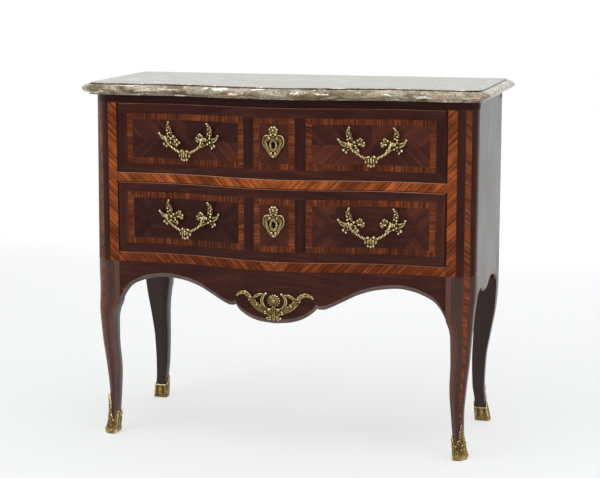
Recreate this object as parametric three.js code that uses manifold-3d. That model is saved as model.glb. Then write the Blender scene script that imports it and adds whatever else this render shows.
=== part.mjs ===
// A chest of two drawers with a serpentine front, cabriole legs, a moulded marble top and gilt bronze mounts.
// Lengths are millimetres. +X is the viewer's right, the front faces -Y and +Z is up.
// The origin lies on the floor, under the centre of the whole outline.
import * as THREE from "three";
import { mergeVertices } from "three/addons/utils/BufferGeometryUtils.js";
import Module from "manifold-3d";

const wasm = await Module();
wasm.setup();

// Overall sizes
const height = 860;
const caseWidth = 925;
const caseDepth = 380.5;
const bulge = 34;
const hollowDepth = 6;
const hollowOffset = 285;
const stationStep = 30;

// Clearances
const seat = 0.3;
const trimSeat = 0.5;
const drawerGap = 1;
const slideGap = 0.6;
const overrun = 5;
const mergeDistance = 0.003;

// Marble top
const marbleThickness = 27.5;
const marbleFrontOverhang = 22.5;
const marbleSideOverhang = 29.5;
const marbleRearOverhang = 3;
const marbleCornerRadius = 48;
const cornerSteps = 5;
const beadWidth = 18;
const quirkWidth = 3.2;
const quirkDepth = 3.4;
const beadDrop = 1;

// Posts and legs
const stileWidth = 64.5;
const stileDepth = 59.5;
const cantWidth = 39;
const cantDepth = 43;
const kneeCantDepth = 33;
const rearPostWidth = 62;
const rearPostDepth = 45;
const rearCant = 7;
const soleThickness = 4;
const toeLevel = 8;
const instepLevel = 25;
const collarLevel = 60;
const ankleLevel = 95;
const outerInset = 24;
const frontInset = 13;
const innerInset = 22;
const backInset = 24;
const innerCut = 14;
const rearOuterInset = 28;
const rearBackInset = 11;
const rearInnerInset = 13;
const rearFrontInset = 20;
const edgeBreak = 1;

// Front levels, from the top down
const topRailHeight = 17.7;
const upperFrontHeight = 164.5;
const dividerHeight = 21.7;
const lowerFrontHeight = 168.6;
const bandHeight = 22;
const lobeDrop = 147;
const sideArchDrop = 81.7;

// Boards
const sidePanelThickness = 18;
const backPanelThickness = 9;
const backPanelInset = 4;
const apronThickness = 24;
const apronChamfer = 9;
const apronChamferDepth = 4;
const railDepth = 38.5;
const rearRailHeight = 28;
const rearRailDepth = 22;
const rearApronHeight = 52;
const rearArchRise = 14;
const dustBoardThickness = 8;
const dustBoardDrop = 6;
const bottomBoardThickness = 10;
const bottomBoardDrop = 10;
const runnerWidth = 24;
const runnerThickness = 18;
const guideHeight = 22;

// Drawers
const frontThickness = 22;
const drawerSideThickness = 12;
const drawerBackThickness = 11;
const drawerRearClearance = 8;
const drawerBottomThickness = 7;
const drawerBottomRise = 8;
const drawerSideInset = 4;
const drawerSideDrop = 5;
const drawerBackDrop = 10;

// Locks
const keyholeRadius = 4.2;
const keyholeSlot = 5.2;
const keyholeLength = 15;
const upperKeyholeShare = 0.5;
const lowerKeyholeShare = 0.53;
const lockWidth = 64;
const lockHeight = 56;
const lockThickness = 14;
const boltWidth = 18;
const boltThickness = 5;
const boltSlotGap = 0.5;
const boltTravel = 8;
const boltTopInset = 1;
const boltStart = 8;
const mortiseClearance = 1.5;

// Escutcheons
const heartHalfWidth = 26;
const heartRise = 39;
const heartFall = 32;
const heartThickness = 4;
const heartBevel = 1.6;

// Handles
const pivotHalf = 52.5;
const upperPivotShare = 0.517;
const lowerPivotShare = 0.548;
const handleCentreShare = 0.5616;
const leafReach = 31;
const leafRise = 43;
const leafThickness = 4;
const leafBevel = 1.4;
const pivotHeight = 15;
const headRadius = 6.2;
const stemRadius = 3.6;
const shankRadius = 3;
const shankHoleRadius = 3.6;
const shankEndLength = 7;
const nutRadius = 7;
const nutThickness = 4;
const nutHoleGap = 0.4;
const pinRadius = 2;
const pinHoleRadius = 2.8;
const pinDepth = 3;
const armRadius = 3.1;
const shoulderGap = 0.6;
const bossHalfWidth = 12.5;
const bossHalfHeight = 11;
const bossHalfDepth = 7.5;
const bailDrop = 36;
const bailReach = 11;

// Apron mount
const mountHalfWidth = 94;
const mountFall = 49;
const mountRise = 22;
const rosetteRadius = 14;
const rosetteHeight = 8;
const branchRadius = 6.2;
const curlRadius = 4.4;
const mountPlaceDrop = 91;

// Sabots
const sabotWall = 2.4;
const sabotGap = 0.5;
const sabotFlare = 2.2;
const sabotHeight = 92;

// Shares chosen by hand, each of the size named beside it
const legLevelShares = [0.21, 0.41, 0.575, 0.64, 0.7, 0.76, 0.84, 1];
const outerShares = [0.63, 0.67, 0.85, 0.98, 0.99, 0.775, 0.46, 0.285, 0.21, 0.18, 0.135, 0.04, 0];
const frontShares = [0.31, 0.38, 0.77, 1, 0.92, 0.54, 0, -0.31, -0.27, -0.12, -0.03, 0, 0];
const innerShares = [0.98, 0.97, 0.92, 0.77, 0.64, 0.44, 0.56, 0.53, 0.36, 0.03, 0, 0, 0];
const backShares = [0.85, 0.84, 0.81, 0.78, 0.81, 0.89, 0.96, 0.98, 0.9, 0.67, 0.375, 0, 0];
const innerCutShares = [0.29, 0.29, 0.21, 0.14, 0.14, 0.29, 0.57, 0.6, 0.6, 0.71, 1, 1, 0.07];
const rearOuterShares = [0.5, 0.57, 0.7, 0.94, 0.99, 0.88, 0.51, 0.17, 0.09, 0.04, 0, 0, 0];
const rearBackShares = [0.14, 0.2, 0.37, 0.75, 1, 0.85, 0.25, 0.08, 0.02, 0, 0, 0, 0];
const rearInnerShares = [0.98, 0.97, 0.94, 0.79, 0.42, 0.25, 0.39, 0.04, -0.26, -0.32, -0.27, 0, 0];
const rearFrontShares = [1, 0.95, 0.82, 0.58, 0.39, 0.4, 0.52, 0.47, 0.38, 0.26, 0.16, 0, 0];
const footCantShares = [0.42, 0.5];
const cantRoundShare = 0.34;
const cutRoundShare = 0.3;
const sabotTopShares = [0.62, 0.36, 0.5, 0.8, 1, 0.8, 0.6, 0.45, 0.4, 0.4, 0.58, 0.42];
const apronShares = [
  [0, 1], [0.085, 0.98], [0.156, 0.928], [0.201, 0.862], [0.231, 0.797], [0.246, 0.735],
  [0.261, 0.755], [0.286, 0.757], [0.317, 0.731], [0.387, 0.641], [0.492, 0.504], [0.603, 0.423],
  [0.719, 0.392], [0.809, 0.425], [0.879, 0.489], [0.935, 0.572], [0.97, 0.682], [0.99, 0.775], [1, 0.835],
];
const sideArchShares = [
  [0, 1.02], [0.03, 0.95], [0.1, 0.85], [0.2, 0.816], [0.31, 0.963], [0.39, 1.006], [0.47, 1],
  [0.6, 0.865], [0.7, 0.767], [0.83, 0.804], [0.93, 0.878], [0.98, 0.98], [1, 1.08],
];
const beadShares = [
  [0.062, 0.75], [0.188, 0.3], [0.344, 0.05], [0.5, 0], [0.656, 0.05], [0.812, 0.3], [0.938, 0.75],
];
const branchFlatShare = 0.6;
const heartShares = [
  [0, 1], [0.26, 0.97], [0.36, 0.82], [0.27, 0.66], [0.54, 0.64], [0.86, 0.5], [1, 0.26], [0.93, -0.02],
  [0.66, -0.4], [0.35, -0.7], [0.12, -0.92], [0, -1],
];
const leafShares = [
  [0.13, -0.33], [0.4, -0.38], [0.66, -0.33], [0.48, -0.09], [0.74, 0.05], [1, 0.23], [0.9, 0.42],
  [0.56, 0.33], [0.3, 0.38], [0.27, 0.62], [0.08, 0.88], [-0.13, 1], [-0.24, 0.8], [-0.1, 0.55],
  [-0.26, 0.37], [-0.52, 0.52], [-0.68, 0.42], [-0.48, 0.18], [-0.28, 0], [-0.2, -0.24],
];
const bailShares = [
  [0.76, 0.05, 0.06], [0.66, 0.2, 0.24], [0.52, 0.5, 0.52],
  [0.34, 0.82, 0.82], [0.15, 0.97, 0.97], [0, 1, 1],
];
const branchShares = [
  [0.02, -0.8, 0.7], [0.22, -0.66, 0.9], [0.46, -0.4, 1], [0.64, -0.04, 1],
  [0.77, 0.62, 1.1], [0.87, 0.9, 0.9], [0.96, 0.62, 0.6],
];
const curlShares = [
  [0.08, -0.62, 0.8], [0.25, -0.3, 1], [0.31, 0.14, 1], [0.25, 0.58, 1], [0.16, 0.72, 0.8], [0.13, 0.42, 0.6],
];

// Planes and levels worked out from the sizes
const rearPlane = (caseDepth + bulge + marbleFrontOverhang - marbleRearOverhang) / 2;
const stilePlane = rearPlane - caseDepth;
const caseHalf = caseWidth / 2;
const openingHalf = caseHalf - stileWidth;
const stileBack = stilePlane + stileDepth;
const rearPostFront = rearPlane - rearPostDepth;
const railBack = stilePlane + railDepth;
const caseTop = height - marbleThickness - seat;
const topRailBottom = caseTop - topRailHeight;
const upperFrontTop = topRailBottom - drawerGap;
const upperFrontBottom = upperFrontTop - upperFrontHeight;
const dividerTop = upperFrontBottom - drawerGap;
const dividerBottom = dividerTop - dividerHeight;
const lowerFrontTop = dividerBottom - drawerGap;
const lowerFrontBottom = lowerFrontTop - lowerFrontHeight;
const apronTop = lowerFrontBottom - drawerGap;
const legHeight = apronTop - bandHeight;
const frontHalf = openingHalf - drawerGap;
const drawerHalf = openingHalf - drawerSideInset;
const drawerRear = rearPlane - backPanelInset - rearRailDepth - drawerRearClearance;
const handleCentre = openingHalf * handleCentreShare;

// Materials
const gilt = { color: 0xa98a4a, roughness: 0.38, metalness: 1 };
const kingwood = { color: 0x4a2219, roughness: 0.3, metalness: 0 };
const tulipwood = { color: 0x7a3a1d, roughness: 0.3, metalness: 0 };
const oak = { color: 0x8b6a45, roughness: 0.7, metalness: 0 };
const marble = { color: 0x9a988c, roughness: 0.25, metalness: 0 };
const iron = { color: 0x4b4a48, roughness: 0.55, metalness: 1 };

const chest = new THREE.Group();

// Adds a named piece to a group
function place(name, geometry, finish, group = chest) {
  const mesh = new THREE.Mesh(geometry, new THREE.MeshStandardMaterial(finish));
  mesh.name = name;
  group.add(mesh);
  return mesh;
}

// Adds the right-hand piece and its mirror image on the left
function placePair(name, geometry, finish) {
  place(name + "_right", geometry, finish);
  place(name + "_left", geometry, finish).scale.x = -1;
}

// The front's plan curve: the centre stands ahead of the posts and a shallow hollow lies on each side
function frontY(x) {
  const reach = Math.abs(x);
  const core = reach < hollowOffset ? (1 + Math.cos((Math.PI * reach) / hollowOffset)) / 2 : 0;
  const run = (reach - hollowOffset) / (openingHalf - hollowOffset);
  const fade = (1 + Math.cos(Math.PI * Math.min(Math.max(run, 0), 1))) / 2;
  return stilePlane - bulge * core + hollowDepth * fade * (1 - core);
}

// Places along the front from one side to the other, on a grid that every curved piece shares
function frontStations(half) {
  const count = Math.ceil(half / stationStep) - 1;
  const grid = Array.from({ length: 2 * count + 1 }, (_, i) => (i - count) * stationStep);
  return [-half, ...grid, half];
}

// Joins rings of equal length into one closed body, with a flat cap on the first and the last
function loft(rings) {
  const size = rings[0].length;
  const points = rings.flat();
  const index = [];
  for (let r = 0; r + 1 < rings.length; r++) {
    for (let i = 0; i < size; i++) {
      const a = r * size + i;
      const b = r * size + ((i + 1) % size);
      index.push(a, b, b + size, a, b + size, a + size);
    }
  }
  const last = (rings.length - 1) * size;
  for (const [a, b, c] of capFaces(rings[0])) {
    index.push(c, b, a);
  }
  for (const [a, b, c] of capFaces(rings[rings.length - 1])) {
    index.push(last + a, last + b, last + c);
  }
  if (signedVolume(points, index) < 0) index.reverse();
  const geometry = new THREE.BufferGeometry().setFromPoints(points);
  geometry.setIndex(index);
  return geometry;
}

// Triangulates a flat ring in its own plane
function capFaces(ring) {
  const normal = new THREE.Vector3();
  ring.forEach((p, i) => normal.add(p.clone().cross(ring[(i + 1) % ring.length])));
  const turn = new THREE.Quaternion().setFromUnitVectors(normal.normalize(), new THREE.Vector3(0, 0, 1));
  const flat = ring.map((p) => p.clone().applyQuaternion(turn));
  return THREE.ShapeUtils.triangulateShape(flat.map((p) => new THREE.Vector2(p.x, p.y)), []);
}

function signedVolume(points, index) {
  let total = 0;
  for (let i = 0; i < index.length; i += 3) {
    const [a, b, c] = [points[index[i]], points[index[i + 1]], points[index[i + 2]]];
    total += a.dot(b.clone().cross(c));
  }
  return total;
}

// An upright slab over a plan outline
function slab(outline, bottom, top) {
  const shape = new THREE.Shape(outline.map(([x, y]) => new THREE.Vector2(x, y)));
  const geometry = new THREE.ExtrudeGeometry(shape, { depth: top - bottom, bevelEnabled: false });
  return geometry.translate(0, 0, bottom);
}

// A board with straight edges between two corners
function board(low, high) {
  const size = high.map((value, i) => value - low[i]);
  const middle = high.map((value, i) => (value + low[i]) / 2);
  return new THREE.BoxGeometry(...size).translate(...middle);
}

// A flat ornament drawn in x and z, its back at a height above the front's surface
function ornament(outline, thickness, bevel) {
  const shape = new THREE.Shape(outline.map(([x, z]) => new THREE.Vector2(x, z)));
  const options = { depth: thickness - bevel, bevelThickness: bevel, bevelSize: bevel, bevelOffset: -bevel };
  const geometry = new THREE.ExtrudeGeometry(shape, { ...options, bevelSegments: 1, steps: 1 });
  geometry.rotateX(Math.PI / 2);
  geometry.computeBoundingBox();
  const back = halfSpace(geometry.boundingBox);
  return toGeometry(toSolid(geometry).subtract(toSolid(back)));
}

// A block that takes the rear bevel off an ornament
function halfSpace(box) {
  const grown = box.clone().expandByScalar(overrun);
  return board([grown.min.x, 0, grown.min.z], [grown.max.x, grown.max.y, grown.max.z]);
}

// Moves a shape made for a flat front onto the curved one
function drape(geometry, lift = trimSeat) {
  const points = geometry.getAttribute("position");
  for (let i = 0; i < points.count; i++) {
    points.setY(i, points.getY(i) + frontY(points.getX(i)) - lift);
  }
  return geometry;
}

function toSolid(geometry) {
  const bare = geometry.clone();
  for (const name of Object.keys(bare.attributes)) if (name !== "position") bare.deleteAttribute(name);
  const merged = mergeVertices(bare, mergeDistance);
  return new wasm.Manifold(
    new wasm.Mesh({
      numProp: 3,
      vertProperties: merged.attributes.position.array,
      triVerts: new Uint32Array(merged.index.array),
    }),
  );
}

function toGeometry(solid) {
  const mesh = solid.getMesh();
  const geometry = new THREE.BufferGeometry();
  geometry.setAttribute("position", new THREE.BufferAttribute(mesh.vertProperties, mesh.numProp));
  geometry.setIndex(new THREE.BufferAttribute(mesh.triVerts, 1));
  return geometry;
}

function join(...shapes) {
  return toGeometry(shapes.map(toSolid).reduce((a, b) => a.add(b)));
}

function cut(shape, ...tools) {
  return toGeometry(tools.map(toSolid).reduce((a, b) => a.subtract(b), toSolid(shape)));
}

// A round bar along Y between two planes
function barY(radius, x, z, from, to, sides) {
  const bar = new THREE.CylinderGeometry(radius, radius, to - from, sides);
  return bar.translate(x, (from + to) / 2, z);
}

// Moves the points of a counter-clockwise outline outwards
function offsetOutline(points, spread) {
  return points.map((p, i) => {
    const before = edgeNormal(points[(i + points.length - 1) % points.length], p);
    const after = edgeNormal(p, points[(i + 1) % points.length]);
    const scale = spread / (1 + before[0] * after[0] + before[1] * after[1]);
    return [p[0] + (before[0] + after[0]) * scale, p[1] + (before[1] + after[1]) * scale];
  });
}

function edgeNormal(a, b) {
  const run = Math.hypot(b[0] - a[0], b[1] - a[1]);
  return [(b[1] - a[1]) / run, (a[0] - b[0]) / run];
}

// Marble slab: the plan follows the front, the two front corners are round,
// and the edge is a bead behind a narrow groove
function marbleOutline(inset) {
  const half = caseHalf + marbleSideOverhang;
  const rear = rearPlane + marbleRearOverhang;
  const corner = Array.from({ length: cornerSteps + 1 }, (_, i) => {
    const turn = (Math.PI * i) / (2 * cornerSteps);
    return [
      half - marbleCornerRadius * (1 - Math.sin(turn)),
      stilePlane - marbleFrontOverhang + marbleCornerRadius * (1 - Math.cos(turn)),
    ];
  });
  const front = frontStations(openingHalf).map((x) => [x, frontY(x) - marbleFrontOverhang]);
  const mirrored = corner.map(([x, y]) => [-x, y]).reverse();
  const path = [[-half, rear], ...mirrored, ...front, ...corner, [half, rear]];
  const ring = offsetOutline(path, -inset);
  ring[0] = [-half + inset, rear];
  ring[ring.length - 1] = [half - inset, rear];
  return ring;
}

function marbleTop() {
  const bottom = height - marbleThickness;
  const beadHeight = marbleThickness - beadDrop;
  const levels = beadShares.map(([up, inset]) => [bottom + beadHeight * up, beadWidth * inset]);
  const edge = [
    [bottom, beadWidth],
    ...levels,
    [height - beadDrop, beadWidth],
    [height - quirkDepth, beadWidth + quirkWidth / 2],
    [height, beadWidth + quirkWidth],
  ];
  return loft(edge.map(([z, inset]) => marbleOutline(inset).map(([x, y]) => new THREE.Vector3(x, y, z))));
}

// Heights of the leg's sections, from the sole to the lower rail
function legLevels() {
  const upper = legLevelShares.map((share) => ankleLevel + (legHeight - ankleLevel) * share);
  return [0, toeLevel, instepLevel, collarLevel, ankleLevel, ...upper];
}

// A value at any height, from one share for each level
function atHeight(z, shares) {
  const levels = legLevels();
  const next = levels.findIndex((level) => level >= z);
  if (next < 0) return shares[shares.length - 1];
  if (next === 0) return shares[0];
  const t = (z - levels[next - 1]) / (levels[next] - levels[next - 1]);
  return shares[next - 1] + (shares[next] - shares[next - 1]) * t;
}

// Plan section of the right front post or leg at a height, moved outwards by a spread
function frontSection(z, spread = 0) {
  const outer = caseHalf - outerInset * atHeight(z, outerShares);
  const inner = openingHalf + innerInset * atHeight(z, innerShares);
  const front = stilePlane + frontInset * atHeight(z, frontShares);
  const back = stileBack - backInset * atHeight(z, backShares);
  const cut = innerCut * atHeight(z, innerCutShares);
  const knee = [cantWidth / stileWidth, kneeCantDepth / stileDepth];
  const crown = [cantWidth / stileWidth, cantDepth / stileDepth];
  const below = Math.min(z / legHeight, 1);
  const above = Math.max((z - legHeight) / (caseTop - legHeight), 0);
  const [across, along] = footCantShares.map((foot, i) => (
    foot + (knee[i] - foot) * below + (crown[i] - knee[i]) * above
  ));
  const cant = [(outer - inner) * across, (back - front) * along];
  return section([inner, front], [outer, back], cant, cut, spread);
}

// Plan section of the right rear post or leg, which has its free corner at the back
function rearSection(z, spread = 0) {
  const outer = caseHalf - rearOuterInset * atHeight(z, rearOuterShares);
  const inner = caseHalf - rearPostWidth + rearInnerInset * atHeight(z, rearInnerShares);
  const back = rearPlane - rearBackInset * atHeight(z, rearBackShares);
  const front = rearPostFront + rearFrontInset * atHeight(z, rearFrontShares);
  const ring = section([inner, -back], [outer, -front], [rearCant, rearCant], edgeBreak, spread);
  return ring.map(([x, y]) => [x, -y]);
}

// A section as a counter-clockwise outline: its near outer corner is canted and slightly rounded,
// and its far inner corner is cut back
function section(low, high, cant, cut, spread) {
  const start = [high[0] - cant[0], low[1]];
  const end = [high[0], low[1] + cant[1]];
  const middle = [(start[0] + end[0]) / 2, (start[1] + end[1]) / 2];
  const corner = [high[0], low[1]];
  const pull = middle.map((value, i) => value + (corner[i] - value) * cantRoundShare);
  const curve = new THREE.QuadraticBezierCurve(
    new THREE.Vector2(...start), new THREE.Vector2(...pull), new THREE.Vector2(...end),
  );
  const round = curve.getPoints(4).map((p) => [p.x, p.y]);
  const half = (a, b) => [(a[0] + b[0]) / 2, (a[1] + b[1]) / 2];
  const near = [low, half(low, start), ...round, half(end, high), high];
  const small = cut * cutRoundShare;
  const far = [[low[0] + cut, high[1]], [low[0] + small, high[1] - small], [low[0], high[1] - cut]];
  return offsetOutline([...near, ...far], spread);
}

function ringAt(sectionAt, z, spread) {
  return sectionAt(z, spread).map(([x, y]) => new THREE.Vector3(x, y, z));
}

// One post with its leg, standing in its sabot
function post(sectionAt) {
  const foot = soleThickness + sabotGap;
  const levels = [foot, ...legLevels().filter((z) => z > foot), caseTop];
  return loft(levels.map((z) => ringAt(sectionAt, z, 0)));
}

// Bronze shoe around a foot: a cup whose rim climbs to a leaf tip on the free corner
function sabot(sectionAt) {
  const count = sectionAt(0).length;
  const tops = Array.from({ length: count }, (_, i) => sabotHeight * sabotTopShares[i]);
  const rows = (lowest) => tops.map((top) => columnLevels(lowest, top));
  const wall = (lowest, spreadAt) => {
    const columns = rows(lowest);
    return columns[0].map((_, r) =>
      columns.map((column, i) => {
        const z = column[r];
        const [x, y] = sectionAt(z, spreadAt(z))[i];
        return new THREE.Vector3(x, y, z);
      }),
    );
  };
  const outside = wall(0, (z) => sabotGap + sabotWall + sabotFlare * Math.max(0, 1 - z / instepLevel));
  const inside = wall(soleThickness, () => sabotGap).reverse();
  return loft([...outside, ...inside]);
}

// Heights of one column of the shoe's wall, which share the leg's own bends
function columnLevels(lowest, top) {
  const between = (a, b, share) => a + (b - a) * share;
  const tall = top > collarLevel;
  const upper = tall
    ? [between(instepLevel, collarLevel, 1 / 2), collarLevel, top]
    : [between(instepLevel, top, 1 / 3), between(instepLevel, top, 2 / 3), top];
  return [lowest, toeLevel, between(toeLevel, instepLevel, 1 / 2), instepLevel, ...upper];
}

// A rail with the serpentine front and a straight back
function rail(half, bottom, top) {
  const front = frontStations(half).map((x) => [x, frontY(x)]);
  return slab([...front, [half, railBack], [-half, railBack]], bottom, top);
}

// Outline of half the apron's lower edge, with points added on the grid of the curved front
function apronEdge() {
  const half = openingHalf - seat;
  const points = apronShares.map(([along, drop]) => [half * along, apronTop - lobeDrop * drop]);
  return points.flatMap((p, i) => {
    const next = points[i + 1];
    if (!next) return [p];
    const between = frontStations(half).filter((x) => x > p[0] + trimSeat && x < next[0] - trimSeat);
    return [p, ...between.map((x) => [x, p[1] + ((next[1] - p[1]) * (x - p[0])) / (next[0] - p[0])])];
  });
}

// The shaped apron with the banded rail above it, in one curved board with a chamfered lower edge
function frontApron() {
  const right = apronEdge();
  const left = right.slice(1).map(([x, z]) => [-x, z]).reverse();
  return loft([...left, ...right].map(([x, z]) => {
    const front = frontY(x);
    const back = front + apronThickness;
    return [
      [front, apronTop], [back, apronTop], [back, z],
      [front + apronChamferDepth, z], [front, z + apronChamfer],
    ].map(([y, level]) => new THREE.Vector3(x, y, level));
  }));
}

// Side panel between the posts, with its lower edge cut to two arches and a lobe
function sidePanel() {
  const start = stileBack + seat;
  const length = rearPostFront - seat - start;
  const lower = sideArchShares.map(([along, drop]) => (
    [start + length * along, apronTop - sideArchDrop * drop]
  ));
  const outline = [...lower, [start + length, caseTop], [start, caseTop]];
  const face = (x) => outline.map(([y, z]) => new THREE.Vector3(x, y, z));
  return loft([face(caseHalf - sidePanelThickness), face(caseHalf)]);
}

// Rear apron with a gentle arch
function rearApron() {
  const half = caseHalf - rearPostWidth - seat;
  const top = apronTop;
  const bottom = top - rearApronHeight;
  const arch = frontStations(half).map((x) => (
    [x, bottom + rearArchRise * Math.cos((Math.PI * x) / (2 * half))]
  ));
  const outline = [...arch, [half, top], [-half, top]];
  const face = (y) => outline.map(([x, z]) => new THREE.Vector3(x, y, z));
  return loft([face(rearPlane - backPanelInset - rearRailDepth), face(rearPlane - backPanelInset)]);
}

// Runner with the guide that keeps a drawer straight, between a post and the rear post
function runner(top) {
  const inner = drawerHalf - runnerWidth;
  const guide = drawerHalf + slideGap;
  const outer = caseHalf - sidePanelThickness - seat;
  const outline = [
    [inner, top - runnerThickness], [outer, top - runnerThickness], [outer, top + guideHeight],
    [guide, top + guideHeight], [guide, top], [inner, top],
  ];
  const face = (y) => outline.map(([x, z]) => new THREE.Vector3(x, y, z));
  return loft([face(stileBack + seat), face(rearPostFront - seat)]);
}

// Board between the runners, its front edge against a piece with the serpentine shape or a straight one
function floorBoard(front, bottom, thickness) {
  const half = drawerHalf - runnerWidth - seat;
  const rear = rearPlane - backPanelInset - rearRailDepth - seat;
  const edge = frontStations(half).map((x) => [x, front(x) + seat]);
  return slab([...edge, [half, rear], [-half, rear]], bottom, bottom + thickness);
}

// Outline of a keyhole: a round head over a slot
function keyholeOutline(z) {
  const neck = Math.acos(keyholeSlot / 2 / keyholeRadius);
  const arc = Array.from({ length: 9 }, (_, i) => {
    const angle = -neck + ((Math.PI + 2 * neck) * i) / 8;
    return [keyholeRadius * Math.cos(angle), z + keyholeRadius * Math.sin(angle)];
  });
  const foot = z + keyholeRadius - keyholeLength;
  return [...arc, [-keyholeSlot / 2, foot], [keyholeSlot / 2, foot]];
}

function keyholeCutter(z) {
  const shape = new THREE.Shape(keyholeOutline(z).map(([x, y]) => new THREE.Vector2(x, y)));
  const depth = bulge + frontThickness + heartThickness + overrun * 2 + hollowDepth;
  const cutter = new THREE.ExtrudeGeometry(shape, { depth, bevelEnabled: false });
  return cutter.rotateX(Math.PI / 2).translate(0, stilePlane + frontThickness - bulge + lockThickness / 2, 0);
}

// Curved drawer front with its keyhole and the holes for the handle shanks
function drawerFront(bottom, top, keyhole, pivot) {
  const stations = frontStations(frontHalf);
  const front = stations.map((x) => [x, frontY(x)]);
  const back = stations.map((x) => [x, frontY(x) + frontThickness]).reverse();
  const holes = [-1, 1].flatMap((side) => [-1, 1].map((end) =>
    barY(
      shankHoleRadius, side * (handleCentre + end * pivotHalf), pivot,
      stilePlane - bulge - overrun, stilePlane + hollowDepth + frontThickness + overrun, 10,
    ),
  ));
  return cut(slab([...front, ...back], bottom, top), keyholeCutter(keyhole), ...holes);
}

// Heart-shaped escutcheon under a small flower head
function escutcheon(z) {
  const right = heartShares.map(([x, up]) => [heartHalfWidth * x, z + up * (up > 0 ? heartRise : heartFall)]);
  const left = right.slice(1, -1).map(([x, up]) => [-x, up]).reverse();
  return cut(drape(ornament([...right, ...left], heartThickness, heartBevel)), keyholeCutter(z));
}

// Plane of the lock's front wall, which touches the curved back of the drawer front at its two ends
const lockFront = frontY(lockWidth / 2) + frontThickness + seat;

// Lock behind the drawer front: a case with a shaft for the bolt and a keyway through its front wall
function lockCase(z) {
  const front = lockFront;
  const shell = board(
    [-lockWidth / 2, front, z - lockHeight / 2], [lockWidth / 2, front + lockThickness, z + lockHeight / 2],
  );
  const middle = front + lockThickness / 2;
  const across = boltWidth / 2 + boltSlotGap;
  const along = boltThickness / 2 + boltSlotGap;
  const shaft = board(
    [-across, middle - along, z - lockHeight / 2 - overrun],
    [across, middle + along, z + lockHeight / 2 + overrun],
  );
  const keyway = barY(keyholeRadius + seat, 0, z, front - overrun, middle, 10);
  const slot = board(
    [-keyholeSlot / 2 - seat, front - overrun, z + keyholeRadius - keyholeLength - seat],
    [keyholeSlot / 2 + seat, middle, z],
  );
  return cut(shell, shaft, keyway, slot);
}

function lockBolt(z, top) {
  const middle = lockFront + lockThickness / 2;
  return board(
    [-boltWidth / 2, middle - boltThickness / 2, z + boltStart],
    [boltWidth / 2, middle + boltThickness / 2, top - boltTopInset],
  );
}

// Socket in the rail above a drawer, where the bolt enters
function mortise(railBottom) {
  const middle = lockFront + lockThickness / 2;
  const across = boltWidth / 2 + mortiseClearance;
  const along = boltThickness / 2 + mortiseClearance;
  const roof = railBottom - drawerGap - boltTopInset + boltTravel + mortiseClearance;
  return board([-across, middle - along, railBottom - overrun], [across, middle + along, roof]);
}

// Everything that travels with one drawer
function drawer(name, bottom, top, pivotShare, keyholeShare) {
  const keyhole = bottom + (top - bottom) * keyholeShare;
  const pivot = bottom + (top - bottom) * pivotShare;
  const sideTop = top - drawerSideDrop;
  const sideBottom = bottom + seat - drawerGap;
  const linerTop = sideBottom + drawerBottomRise + drawerBottomThickness;
  const inside = drawerHalf - drawerSideThickness;
  const sideFront = (x) => frontY(x) + frontThickness + seat;
  place(name + "_front", drawerFront(bottom, top, keyhole, pivot), tulipwood);
  const sidePlan = [
    [inside, sideFront(inside)], [drawerHalf, sideFront(drawerHalf)],
    [drawerHalf, drawerRear], [inside, drawerRear],
  ];
  placePair(name + "_side", slab(sidePlan, sideBottom, sideTop), oak);
  const backFront = drawerRear - drawerBackThickness;
  const backHigh = [inside - seat, drawerRear, sideTop - drawerBackDrop];
  place(name + "_back", board([seat - inside, backFront, linerTop + seat], backHigh), oak);
  const edge = frontStations(inside - seat).map((x) => [x, sideFront(x)]);
  const bottomPlan = [...edge, [inside - seat, drawerRear], [seat - inside, drawerRear]];
  place(name + "_bottom", slab(bottomPlan, sideBottom + drawerBottomRise, linerTop), oak);
  place(name + "_escutcheon", escutcheon(keyhole), gilt);
  place(name + "_lock_case", lockCase(keyhole), iron);
  place(name + "_lock_bolt", lockBolt(keyhole, top), iron);
  for (const side of ["left", "right"]) handle(name + "_handle_" + side, side, pivot);
}

// One handle: two leaf mounts on shanks with nuts, and the bail that swings between them
function handle(name, side, pivot) {
  const half = new THREE.Group();
  half.scale.x = side === "left" ? -1 : 1;
  chest.add(half);
  const ends = [["inner", -1], ["outer", 1]];
  const [inner, outer] = ends.map(([, way]) => {
    const x = handleCentre + way * pivotHalf;
    return new THREE.Vector3(x, frontY(x) - trimSeat - pivotHeight, pivot);
  });
  const tilt = Math.atan2(outer.y - inner.y, outer.x - inner.x);
  ends.forEach(([end, way]) => {
    place(name + "_mount_" + end, leafMount(way, pivot, way < 0 ? inner : outer, tilt), gilt, half);
    place(name + "_nut_" + end, nut(handleCentre + way * pivotHalf, pivot), iron, half);
  });
  const swing = new THREE.Group();
  swing.position.copy(inner).add(outer).multiplyScalar(1 / 2);
  swing.rotation.z = tilt;
  half.add(swing);
  place(name + "_bail", bail(inner.distanceTo(outer) / 2), gilt, swing);
}

// Leaf spray with a head for the bail's pin and a shank through the drawer front
function leafMount(way, pivot, head, tilt) {
  const x = handleCentre + way * pivotHalf;
  const outline = leafShares.map(([across, up]) => [way * leafReach * across, leafRise * up]);
  const leaf = ornament(way < 0 ? outline.reverse() : outline, leafThickness, leafBevel);
  const stem = barY(stemRadius, 0, 0, -pivotHeight, -leafThickness / 2, 8);
  const ball = new THREE.SphereGeometry(headRadius, 8, 5).translate(0, -pivotHeight, 0);
  const tail = frontThickness + trimSeat + shankEndLength;
  const shank = barY(shankRadius, 0, 0, -leafThickness / 2, tail, 8);
  const whole = join(leaf, stem, ball, shank).translate(x, 0, pivot);
  return cut(drape(whole), pinHole(way, head, tilt));
}

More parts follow.
